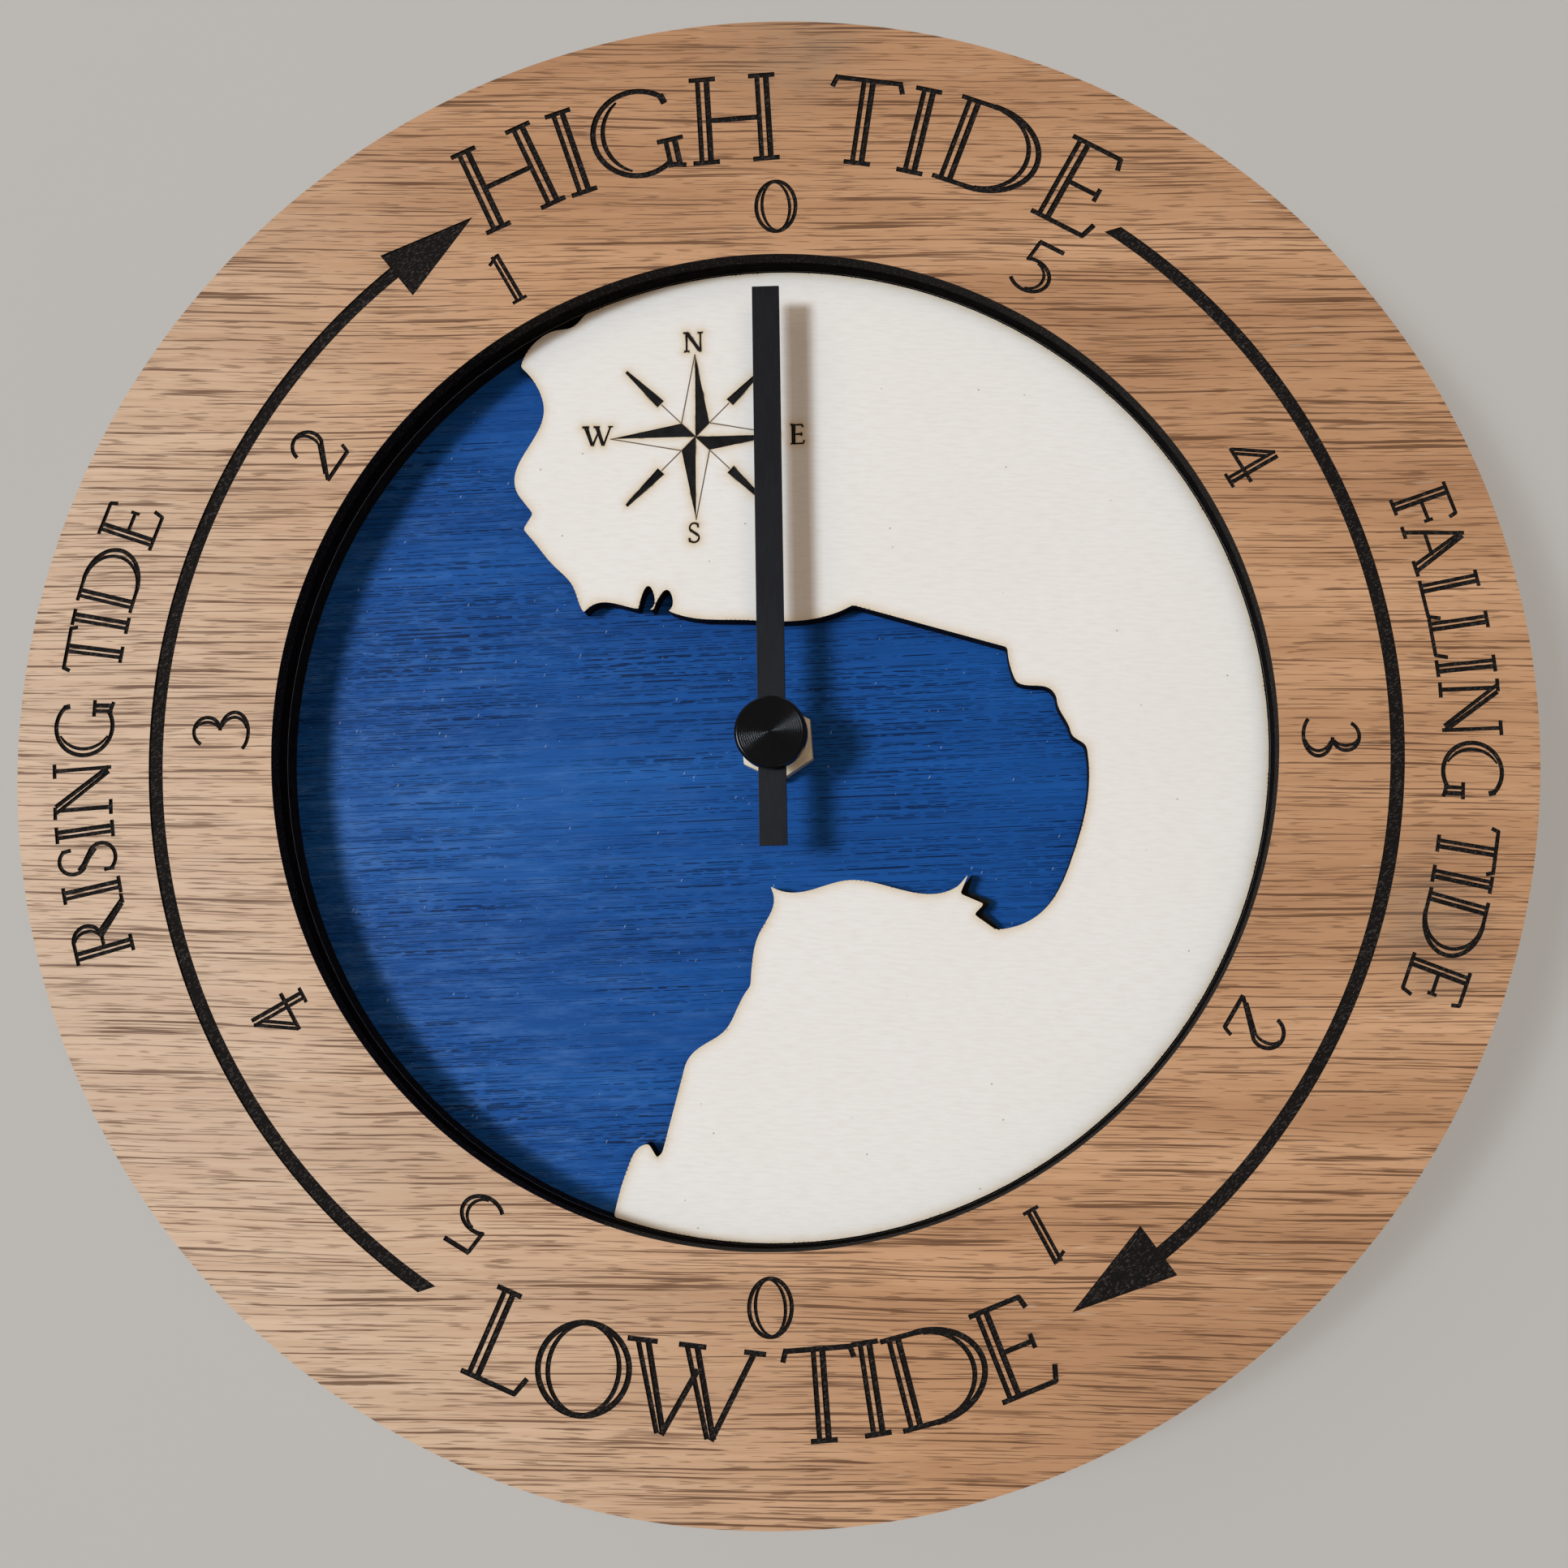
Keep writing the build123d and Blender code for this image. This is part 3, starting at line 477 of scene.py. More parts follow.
# a profile of radius and depth turned round the shaft: x = r sin a, y = depth, z = r cos a
def turned(radius, depth, columns, closeRows=False):
    a = np.linspace(0, 2 * np.pi, columns, endpoint=False)
    radius = radius[:, None] if radius.ndim == 1 else radius
    depth = np.broadcast_to(depth[:, None], (len(depth), columns))
    points = np.stack([radius * np.sin(a), depth, radius * np.cos(a)], -1).reshape(-1, 3)
    return points, [bandFaces(len(depth), columns, closeRows)]


# working copy of a mesh, with corners closer than `reach` metres joined
def welded(mesh, reach):
    shell = bmesh.new()
    shell.from_mesh(mesh)
    bmesh.ops.remove_doubles(shell, verts=shell.verts, dist=reach)
    return shell


# mesh from millimetre points and blocks of faces, welded, turned outwards and hung on a body
def makePiece(name, points, faces, slot, body, stands, smooth=True, marks=None, finish=None):
    mesh = bpy.data.meshes.new(name)
    mesh.from_pydata((points / 1000).tolist(), [], [row for block in faces for row in block.tolist()])
    if marks is not None:
        scorch = mesh.attributes.new("scorch", "FLOAT", "POINT")
        scorch.data.foreach_set("value", marks.astype(np.float32))
    shell = welded(mesh, 1e-7)
    bmesh.ops.recalc_face_normals(shell, faces=shell.faces)
    shell.to_mesh(mesh)
    shell.free()
    mesh.polygons.foreach_set("use_smooth", np.full(len(mesh.polygons), smooth))
    mesh.materials.append(finish or finishes[slot])
    piece = bpy.data.objects.new(name, mesh)
    bpy.context.collection.objects.link(piece)
    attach(piece, body)
    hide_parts(*stands)
    return piece


# a stroke's centre line (x, z) and half widths made one counter-clockwise outline
def ribbon(line, half):
    along = np.gradient(line, axis=0)
    along /= np.linalg.norm(along, axis=1, keepdims=True)
    side = np.stack([-along[:, 1], along[:, 0]], 1) * half[:, None]
    return ccw(np.vstack([line - side, (line + side)[::-1]]))


def ccw(outline):
    x, z = outline.T
    area = np.sum(x * np.roll(z, -1) - np.roll(x, -1) * z)
    return outline if area > 0 else outline[::-1]


def circle(radius, count, centre=(0.0, 0.0)):
    a = np.linspace(0, 2 * np.pi, count, endpoint=False)
    return np.stack([centre[0] + radius * np.cos(a), centre[1] + radius * np.sin(a)], 1)


# point at a clock angle (degrees clockwise from the top) and radius
def clockPoint(degrees, radius, centre=(0.0, 0.0)):
    a = np.radians(degrees)
    return np.stack(np.broadcast_arrays(centre[0] + radius * np.sin(a), centre[1] + radius * np.cos(a)), -1)


# flat sheet between a front and a back depth, with each cut sunk to its own floor. The plan is triangulated
# once, every triangle takes the depth of the deepest cut over it, and neighbours at two depths get a wall.
def cutSheet(rims, cuts, front, back, loose=None):
    loops = [outline for outline, _ in rims] + [outline for outline, _ in cuts]
    ends = np.cumsum([0] + [len(outline) for outline in loops])
    corners = np.vstack(loops + ([] if loose is None else [loose]))
    plans = [list(range(a, b)) for a, b in zip(ends[:-1], ends[1:])]
    spots = [Vector(corner) for corner in corners]
    plan, _, triangles, _, _, sources = delaunay_2d_cdt(spots, [], plans, 0, 1e-5, True)
    plan, triangles = np.array(plan), np.array(triangles)
    solid = [n for n, (_, kind) in enumerate(rims) if kind == "solid"]
    holes = [n for n, (_, kind) in enumerate(rims) if kind == "hole"]
    floors = sorted({floor for _, floor in cuts})
    levels = [front] + [front + floor for floor in floors] + [back]
    ofCut = [0] * len(rims) + [1 + floors.index(floor) for _, floor in cuts]
    kept = [all(n in s for n in solid) and not any(n in s for n in holes) for s in sources]
    level = np.array([max((ofCut[n] for n in s), default=0) for s in sources])[kept]
    triangles = triangles[kept]
    count = len(plan)
    edges = triangles[:, [[0, 1], [1, 2], [2, 0]]].reshape(-1, 2)
    owner = np.repeat(np.arange(len(triangles)), 3)
    key = np.sort(edges, 1) @ np.array([count, 1])
    order = np.argsort(key, kind="stable")
    same = key[order][1:] == key[order][:-1]
    first, second = order[:-1][same], order[1:][same]
    step = level[owner[first]] != level[owner[second]]
    first, second = first[step], second[step]
    a, b = edges[first].T
    high, low = level[owner[first]] * count, level[owner[second]] * count
    steps = np.stack([a + high, b + high, b + low, a + low], 1)
    lone = order[np.r_[True, ~same] & np.r_[~same, True]]
    a, b = edges[lone].T
    top, foot = level[owner[lone]] * count, (len(levels) - 1) * count
    walls = np.stack([a + top, b + top, b + foot, a + foot], 1)
    faces = [triangles + level[:, None] * count, triangles[:, ::-1] + foot, steps, walls]
    points = np.vstack([np.insert(plan, 1, depth, axis=1) for depth in levels])
    used, fresh = np.unique(np.concatenate([f.ravel() for f in faces]), return_inverse=True)
    sizes = np.cumsum([f.size for f in faces])[:-1]
    faces = [part.reshape(f.shape) for part, f in zip(np.split(fresh, sizes), faces)]
    return points[used], faces


# inline roman capitals and figures, in shares of the cap height: two burnt lines with wood between them
lettering = {"thin": 0.044, "thick": 0.052, "apart": 0.098, "serif": 0.145}


# straight stroke
def bar(x0, z0, x1, z1, width=lettering["thin"]):
    t = np.linspace(0, 1, 3)
    return np.stack([x0 + (x1 - x0) * t, z0 + (z1 - z0) * t, np.full(3, width / 2)], 1)


# part of an ellipse from one angle to another, thinner by `taper` towards both ends
def bow(x, z, wide, high, start, stop, width=lettering["thin"], taper=0.0, lean=0.0):
    t = np.linspace(-1, 1, 41)
    a = np.radians(start + (stop - start) * (t + 1) / 2)
    u, v, s = wide * np.cos(a), high * np.sin(a), np.radians(lean)
    half = width / 2 * (1 - taper * t**2)
    return np.stack([x + u * np.cos(s) - v * np.sin(s), z + u * np.sin(s) + v * np.cos(s), half], 1)


# upright stem of a thin and a thick line with serifs
def stem(x, low=0.0, high=1.0, head=True, foot=True):
    thin, thick, apart, serif = lettering.values()
    left, right = x - apart / 2, x + apart / 2
    made = [bar(left, low, left, high), bar(right, low, right, high, thick)]
    made += [bar(x - serif, high - thin / 2, x + serif, high - thin / 2)] * head
    made += [bar(x - serif, low + thin / 2, x + serif, low + thin / 2)] * foot
    return made


# slanting pair of a thin and a thick line, with a gap of its own at each end
def slope(x0, z0, x1, z1, gapHigh, gapLow):
    thin = bar(x0 - gapHigh, z0, x1 - gapLow, z1)
    return [thin, bar(x0 + gapHigh, z0, x1 + gapLow, z1, lettering["thick"])]


# width and strokes of each sign
def makeGlyphs():
    top, foot = 1 - lettering["thin"] / 2, lettering["thin"] / 2
    round0 = [bow(0.388, 0.5, 0.36, 0.48, 0, 184, 0.05), bow(0.388, 0.5, 0.36, 0.48, 180, 364, 0.05)]
    roundO = [bow(0.515, 0.5, 0.495, 0.485, 0, 184, 0.05), bow(0.515, 0.5, 0.495, 0.485, 180, 364, 0.05)]
    arms = [bar(0.0, top, 0.59, top), bar(0.575, 0.99, 0.61, 0.85, 0.045)]
    arms += [bar(0.19, 0.5, 0.54, 0.5), bar(0.545, 0.58, 0.545, 0.42, 0.04)]
    sill = [bar(0.0, foot, 0.63, foot), bar(0.615, 0.01, 0.675, 0.19, 0.045)]
    return {
        "I": (0.29, stem(0.145)),
        "H": (0.94, stem(0.145) + stem(0.795) + [bar(0.18, 0.5, 0.76, 0.5, 0.048)]),
        "T": (0.77, stem(0.385, head=False) + [bar(0.03, 0.975, 0.74, 0.975, 0.045)]
              + [bar(0.045, 1.0, 0.0, 0.86, 0.045), bar(0.725, 1.0, 0.77, 0.86, 0.045)]),
        "E": (0.69, stem(0.145, head=False, foot=False) + arms + sill),
        "F": (0.65, stem(0.145, head=False) + arms),
        "L": (0.71, stem(0.145, foot=False)
              + [bar(0.0, foot, 0.65, foot), bar(0.63, 0.01, 0.70, 0.22, 0.045)]),
        "D": (1.05, stem(0.145, head=False, foot=False)
              + [bar(0.0, top, 0.42, top), bar(0.0, foot, 0.42, foot)]
              + [bow(0.40, 0.5, 0.625, 0.48, 92, -92, 0.05)]
              + [bow(0.42, 0.5, 0.49, 0.455, 84, -84, 0.042, 0.4)]),
        "O": (1.03, roundO + [bow(0.53, 0.5, 0.40, 0.475, 95, 262, 0.042, 0.5, 14)]
              + [bow(0.50, 0.5, 0.40, 0.475, -85, 82, 0.042, 0.5, 14)]),
        "G": (0.98, [bow(0.51, 0.5, 0.49, 0.485, 46, 302, 0.05)]
              + [bow(0.55, 0.5, 0.42, 0.455, 118, 244, 0.042, 0.5)]
              + [bar(0.75, 0.085, 0.95, foot, 0.045), bar(0.835, 0.885, 0.865, 0.77, 0.06)]
              + stem(0.835, 0.03, 0.37, foot=False)),
        "W": (1.51, slope(0.165, 0.99, 0.475, 0.03, 0.056, 0.034)
              + slope(0.70, 0.99, 1.02, 0.03, 0.056, 0.034)
              + [bar(0.49, 0.02, 0.80, 0.74, 0.05), bar(1.03, 0.02, 1.385, 0.985, 0.05)]
              + [bar(0.0, top, 0.33, top), bar(0.56, top, 0.86, top), bar(1.27, top, 1.51, top)]),
        "N": (0.96, slope(0.165, 0.97, 0.81, 0.04, 0.058, 0.042) + [bar(0.155, 0.02, 0.155, 0.90, 0.05)]
              + [bar(0.84, 0.0, 0.84, 0.99, 0.045), bar(0.0, top, 0.22, top), bar(0.03, foot, 0.29, foot)]
              + [bar(0.71, top, 0.96, top)]),
        "A": (0.90, slope(0.40, 0.96, 0.755, 0.02, 0.034, 0.056) + [bar(0.395, 1.0, 0.105, 0.01, 0.045)]
              + [bar(0.20, 0.36, 0.62, 0.36), bar(0.0, foot, 0.22, foot), bar(0.62, foot, 0.90, foot)]),
        "R": (1.01, stem(0.145, head=False) + [bar(0.0, top, 0.38, top), bar(0.18, 0.49, 0.40, 0.49)]
              + [bow(0.37, 0.735, 0.25, 0.245, 92, -92, 0.046)]
              + [bow(0.37, 0.735, 0.155, 0.215, 84, -84, 0.04, 0.4)]
              + slope(0.435, 0.49, 0.86, 0.03, 0.05, 0.03) + [bar(0.83, foot, 1.0, foot)]),
        "S": (0.58, [bow(0.30, 0.745, 0.225, 0.235, 38, 232, 0.046)]
              + [bow(0.28, 0.255, 0.25, 0.235, 56, -146, 0.046)]
              + slope(0.17, 0.585, 0.40, 0.435, 0.03, 0.03) + slope(0.12, 0.665, 0.46, 0.345, 0.0, 0.0)
              + [bar(0.475, 0.93, 0.49, 0.76, 0.045), bar(0.07, 0.24, 0.075, 0.06, 0.045)]),
        "0": (0.775, round0 + [bow(0.40, 0.5, 0.265, 0.46, 98, 262, 0.042, 0.5, 5)]
              + [bow(0.375, 0.5, 0.265, 0.46, -82, 82, 0.042, 0.5, 5)]),
        "1": (0.34, stem(0.19, head=False) + [bar(0.02, 0.87, 0.23, 0.975, 0.045)]),
        "2": (0.74, [bow(0.35, 0.70, 0.27, 0.275, 172, -32, 0.05)]
              + [bow(0.35, 0.70, 0.175, 0.25, 84, -36, 0.042, 0.3)]
              + [bar(0.585, 0.56, 0.05, 0.05, 0.05), bar(0.50, 0.55, 0.10, 0.14)]
              + [bar(0.02, 0.03, 0.67, 0.03, 0.055), bar(0.655, 0.02, 0.715, 0.19, 0.045)]),
        "3": (0.66, [bow(0.29, 0.745, 0.25, 0.235, 156, -84, 0.046)]
              + [bow(0.27, 0.265, 0.37, 0.255, 84, -140, 0.046)]
              + [bow(0.31, 0.745, 0.145, 0.205, 78, -70, 0.04, 0.4)]
              + [bow(0.29, 0.265, 0.26, 0.225, 72, -76, 0.042, 0.4)]),
        "4": (0.73, stem(0.50, head=False) + [bar(0.47, 1.0, 0.02, 0.35, 0.045), bar(0.47, 0.86, 0.13, 0.37)]
              + [bar(0.0, 0.345, 0.72, 0.345, 0.05)]),
        "5": (0.73, [bar(0.16, 0.96, 0.67, 0.965, 0.06), bar(0.185, 0.96, 0.14, 0.55, 0.05)]
              + [bow(0.31, 0.315, 0.37, 0.30, 122, -142, 0.05)]
              + [bow(0.31, 0.315, 0.26, 0.255, 84, -84, 0.042, 0.4)]),
    }


glyphs = makeGlyphs()


# outlines of one glyph set at a place: u runs along its line of writing and v up its height
def setGlyph(sign, cap, centre, turn, flip=False, weight=1.0):
    width, strokes = glyphs[sign]
    c, s = np.cos(np.radians(turn)), np.sin(np.radians(turn))
    way = -1 if flip else 1
    made = []
    for stroke in strokes:
        u, v = (stroke[:, 0] - width / 2) * cap * way, (stroke[:, 1] - 0.5) * cap * way
        line = np.stack([centre[0] + u * c + v * s, centre[1] - u * s + v * c], 1)
        made.append(ribbon(line, stroke[:, 2] * cap * weight))
    return made


dialRing = {
    "outer": 150.0,
    "opening": 99.4,
    "segments": 720,
    "cutDepth": 0.32,
    # word, middle radius, cap height, weight of its lines, upside down, clock angle of each letter
    "words": [
        ("HIGHTIDE", 129.0, 19.0, 1.25, False, (-26.1, -19.9, -13.7, -4.6, 7.25, 12.5, 19.5, 28.2)),
        ("FALLINGTIDE", 136.9, 11.7, 1.50, False,
         (70.2, 73.4, 77.9, 81.3, 83.9, 87.4, 92.6, 98.95, 101.55, 105.4, 110.2)),
        ("LOWTIDE", 125.8, 17.5, 1.30, True, (202.3, 195.4, 185.9, 174.75, 170.4, 164.5, 157.6)),
        ("RISINGTIDE", 137.0, 11.6, 1.50, False,
         (253.3, 256.6, 259.2, 261.5, 265.0, 270.2, 276.7, 279.3, 283.1, 287.95)),
    ],
    "hours": ("054321054321", 109.6, 11.2, 1.45,
              (-0.7, 28.4, 59.3, 90.0, 120.8, 150.7, 179.1, 210.3, 239.4, 270.2, 301.6, 329.1)),
    # each arrow: shift of its bow's centre, clock angles of tail and barbs on that bow, barb radii, tip
    "arrows": [
        {"shift": 4.7, "tail": 212.6, "neck": 318.6, "barbs": (320.2, 117.7, 128.8), "tip": (329.3, 124.8)},
        {"shift": -4.7, "tail": 34.6, "neck": 141.0, "barbs": (142.6, 117.8, 129.2), "tip": (151.9, 124.4)},
    ],
    "bow": 127.1,
    "bowSteps": 80,
    "bandWidth": 2.8,
    "tailSlant": 1.0,
}


# arrow cuts: an arc of even width with a slanting tail, and a straight-sided head
def arrowCuts(arrow, ring):
    centre = (arrow["shift"], 0.0)
    inner = np.linspace(arrow["tail"] - ring["tailSlant"] / 2, arrow["neck"], ring["bowSteps"])
    outer = np.linspace(arrow["tail"] + ring["tailSlant"] / 2, arrow["neck"], ring["bowSteps"])
    half = ring["bandWidth"] / 2
    there = clockPoint(outer, ring["bow"] + half, centre)
    back = clockPoint(inner, ring["bow"] - half, centre)[::-1]
    barb, low, high = arrow["barbs"]
    head = np.array([clockPoint(barb, low), clockPoint(barb, high), clockPoint(*arrow["tip"])])
    return [ccw(np.vstack([there, back])), ccw(head)]


def makeDialRing(ring):
    cuts = []
    for word, middle, cap, weight, flip, angles in ring["words"]:
        for sign, angle in zip(word, angles):
            cuts += setGlyph(sign, cap, clockPoint(angle, middle), angle, flip, weight)
    signs, middle, cap, weight, angles = ring["hours"]
    for sign, angle in zip(signs, angles):
        cuts += setGlyph(sign, cap, clockPoint(angle, middle), angle, weight=weight)
    for arrow in ring["arrows"]:
        cuts += arrowCuts(arrow, ring)
    front, back = depthsOf("dial_ring")
    rims = [(circle(ring["outer"], ring["segments"]), "solid")]
    rims += [(circle(ring["opening"], ring["segments"]), "hole")]
    points, faces = cutSheet(rims, [(cut, ring["cutDepth"]) for cut in cuts], front, back)
    return makePiece("veneerRing", points, faces, "oak_veneer", "clock", ["dial_ring"], smooth=False)


print("ring:", len(makeDialRing(dialRing).data.polygons), "faces")

compassRose = {
    "centre": (-17.9, 63.5),
    "lean": -1.8,  # clock degrees
    "point": 17.7,
    "shoulder": 4.1,
    "shaft": (4.3, 10.0),
    "spear": (10.2, 20.3),
    "spearHalf": (0.95, 0.32),
    "hairline": 0.26,
    "letters": [("N", (-18.9, 83.9)), ("E", (3.2, 64.1)), ("S", (-17.7, 43.1)), ("W", (-38.2, 63.5))],
    "cap": 4.2,
    "weight": 2.0,
    "deep": 0.30,  # mm, the filled cuts
    "light": 0.09,  # mm, the hairlines
}


# cuts of the rose: a dark half and an outlined half for each main point, a hairline and a spear between them
def roseCuts(rose):
    cuts = []

    def spot(degrees, radius):
        return clockPoint(degrees + rose["lean"], radius, rose["centre"])

    def thread(a, b):
        return ribbon(np.array([a, (a + b) / 2, b]), np.full(3, rose["hairline"] / 2))

    hub = np.array(rose["centre"])
    for turn in (0, 90, 180, 270):
        tip, between = spot(turn, rose["point"]), turn + 45
        right, left = spot(between, rose["shoulder"]), spot(turn - 45, rose["shoulder"])
        cuts.append((ccw(np.array([hub, right, tip])), rose["deep"]))
        cuts.append((thread(left, tip), rose["light"]))
        cuts.append((thread(hub, left), rose["light"]))
        near, far = rose["shaft"]
        cuts.append((thread(spot(between, near), spot(between, far)), rose["light"]))
        near, far = rose["spear"]
        wide, blunt = np.degrees(rose["spearHalf"][0] / near), np.degrees(rose["spearHalf"][1] / far)
        blade = [spot(between - wide, near), spot(between + wide, near)]
        blade += [spot(between + blunt, far), spot(between - blunt, far)]
        cuts.append((ccw(np.array(blade)), rose["deep"]))
    for sign, place in rose["letters"]:
        letter = setGlyph(sign, rose["cap"], place, rose["lean"], weight=rose["weight"])
        cuts += [(cut, rose["deep"]) for cut in letter]
    return cuts


# plan outline of a node's front face as loose edges, read from its welded copy
def frontEdges(node):
    shell = welded(frame["nodes"][node].data, 1e-6)
    plain = bpy.data.meshes.new("plan")
    shell.to_mesh(plain)
    shell.free()
    corners = np.empty(len(plain.vertices) * 3)
    plain.vertices.foreach_get("co", corners)
    triangles = np.empty(len(plain.loops), int)
    plain.loops.foreach_get("vertex_index", triangles)
    bpy.data.meshes.remove(plain)
    corners, triangles = corners.reshape(-1, 3) * 1000, triangles.reshape(-1, 3)
    onFront = np.all(corners[triangles, 1] < depthsOf(node)[0] + 0.001, axis=1)
    edges = triangles[onFront][:, [[0, 1], [1, 2], [2, 0]]].reshape(-1, 2)
    key = np.sort(edges, 1) @ np.array([len(corners), 1])
    _, index, count = np.unique(key, return_index=True, return_counts=True)
    return corners[edges[index[count == 1]]][:, :, [0, 2]]


# points of the loose edges put in walking order, each edge leading to the next
def chained(edges):
    start = np.round(edges[:, 0], 3)
    end = np.round(edges[:, 1], 3)
    follow = np.argmin(np.sum((start[None] - end[:, None]) ** 2, axis=2), axis=1)
    order = [0]
    while follow[order[-1]] != 0:
        order.append(follow[order[-1]])
    return edges[order, 0]


land = {
    "sampleStep": 0.9,  # along the coast
    "roseStep": 0.35,
    "offsets": (0.3, 0.75, 1.6, 3.0),  # rows of corners beside each burn, to carry its scorch
    "reach": 0.85,  # mm over which the scorch fades
    "batches": 24,
    "coastStep": 0.25,
    "coastRound": 0.42,
    "coastNear": 8,  # samples on each side that ease a corner
    "plyThick": 2.1,  # upper ply, painted
    "jut": (1.6, 0.6),  # lower ply, cut wider along the harbour steps
    "jutAt": (40.3, -32.3),
    "jutSpread": 7.0,
    "plyRadius": 99.0,
    "plySegments": 360,
}


# even samples along a closed outline, with the outline's side direction at each
def sampled(outline, step):
    ahead = np.roll(outline, -1, axis=0) - outline
    length = np.maximum(np.linalg.norm(ahead, axis=1), 1e-9)
    whole = np.r_[0, np.cumsum(length)]
    t = np.linspace(0, whole[-1], max(8, int(whole[-1] / step)), endpoint=False)
    n = np.clip(np.searchsorted(whole, t, side="right") - 1, 0, len(length) - 1)
    way = ahead[n] / length[n, None]
    return outline[n] + way * (t - whole[n])[:, None], np.stack([-way[:, 1], way[:, 0]], 1)


# closed outline with its corners eased: even samples, each averaged with its neighbours by a bell curve
def eased(outline, step, spread, near):
    spots, _ = sampled(outline, step)
    offset = np.arange(-near, near + 1)
    weight = np.exp(-((offset * step / spread) ** 2) / 2)
    index = (np.arange(len(spots))[:, None] + offset) % len(spots)
    return np.einsum("ijk,j->ik", spots[index], weight / weight.sum())


def makeLandPiece(land, rose):
    front, back = depthsOf("land_layer")
    coast = ccw(chained(frontEdges("land_layer")))
    coast = eased(coast, land["coastStep"], land["coastRound"], land["coastNear"])
    cuts = roseCuts(rose)
    deep = [cut for cut, floor in cuts if floor == rose["deep"]]
    burns = [sampled(coast, land["sampleStep"])] + [sampled(cut, land["roseStep"]) for cut in deep]
    spots, sides = (np.vstack(part) for part in zip(*burns))
    loose = np.vstack([spots + sides * way * gap for gap in land["offsets"] for way in (1, -1)])
    points, faces = cutSheet([(coast, "solid")], cuts, front, front + land["plyThick"], loose)
    # jut x exp(-(distance / spread)^4): full along the steps, nothing elsewhere
    away = np.linalg.norm(coast - land["jutAt"], axis=1, keepdims=True) / land["jutSpread"]
    jutting = coast + np.array(land["jut"]) * np.exp(-away**4)
    lower = [(jutting, "solid"), (circle(land["plyRadius"], land["plySegments"]), "solid")]
    footPoints, footFaces = cutSheet(lower, [], front + land["plyThick"], back)
    faces += [part + len(points) for part in footFaces]
    points = np.vstack([points, footPoints])
    nearest = np.full(len(points), 1e9)
    for part in np.array_split(spots, land["batches"]):
        gap = points[:, None, [0, 2]] - part[None]
        nearest = np.minimum(nearest, np.min(np.einsum("ijk,ijk->ij", gap, gap), axis=1))
    scorch = np.exp(-np.sqrt(nearest) / land["reach"])
    return makePiece("landInsert", points, faces, "land_paint", "clock", ["land_layer"], False, scorch)


print("land:", len(makeLandPiece(land, compassRose).data.polygons), "faces")

handCap = {
    "radius": 7.1,
    "edge": 0.8,
    "rings": 14,
    "ringDepth": 0.10,
    "bore": 2.02,
    "boreDepth": 1.02,
    "rowsPerRing": 8,
    "edgeRows": 8,
    "columns": 144,
}


# spun cap: y = half the ring depth x (1 - cos) over the flat front, a quarter-round edge, then the bored back
def makeHandCap(cap):
    front, back = depthsOf("hand_cap")
    flat = cap["radius"] - cap["edge"]
    face = np.linspace(0, flat, cap["rings"] * cap["rowsPerRing"] + 1)
    waves = front + cap["ringDepth"] / 2 * (1 - np.cos(2 * np.pi * face / flat * cap["rings"]))
    a = np.linspace(0, np.pi / 2, cap["edgeRows"] + 1)[1:]
    floor = back - cap["boreDepth"]
    radius = np.r_[face, flat + cap["edge"] * np.sin(a), cap["radius"], cap["bore"], cap["bore"], 0]
    depth = np.r_[waves, front + cap["edge"] * (1 - np.cos(a)), back, back, floor, floor]
    points, faces = turned(radius, depth, cap["columns"])
    return makePiece("spunCap", points, faces, "black_metal", "hand", ["hand_cap"], finish=spunBlack)


print("cap:", len(makeHandCap(handCap).data.polygons), "faces")

bush = {
    "radius": 5.0,
    "pitch": 0.75,
    "threadDepth": 0.34,
    "lead": 0.25,  # plain end before the thread
    "bore": 2.55,
    "flange": 6.2,
    "flangeThick": 0.6,
    "rows": 220,
    "columns": 96,
}


# threaded bush: r = radius - depth x |saw(y / pitch - a / turn)| along the barrel, then flange and bore
def makeBush(bush):
    front, back = depthsOf("centre_bush")
    a = np.linspace(0, 1, bush["columns"], endpoint=False)
    y = np.linspace(front + bush["lead"], back - bush["flangeThick"], bush["rows"])
    saw = np.abs(((y[:, None] / bush["pitch"] - a) % 1) * 2 - 1)
    root = bush["radius"] - bush["threadDepth"]
    barrel = bush["radius"] - bush["threadDepth"] * saw
    barrel[0] = root
    row = np.full((1, bush["columns"]), 1.0)
    rings = [row * bush["bore"], row * root, barrel]
    rings += [row * bush["flange"], row * bush["flange"], row * bush["bore"]]
    depth = np.r_[front, front, y, back - bush["flangeThick"], back, back]
    points, faces = turned(np.vstack(rings), depth, bush["columns"], closeRows=True)
    return makePiece("threadedBush", points, faces, "brass", "clock", ["centre_bush"])


print("bush:", len(makeBush(bush).data.polygons), "faces")

softEdges = {
    "flat": np.radians(1),  # faces this near to one plane are joined
    "sharp": np.radians(35),  # edges sharper than this are broken
    "segments": 2,
    # pieces whose edges are broken a little: node, name, edge in millimetres
    "pieces": [
        ("tide_hand", "batonHand", 0.09),
        ("hex_nut", "brassNut", 0.14),
        ("hanger_bracket", "hangerStrip", 0.12),
        ("movement_case", "movementBox", 0.25),
        ("back_cover", "movementLid", 0.25),
    ],
}


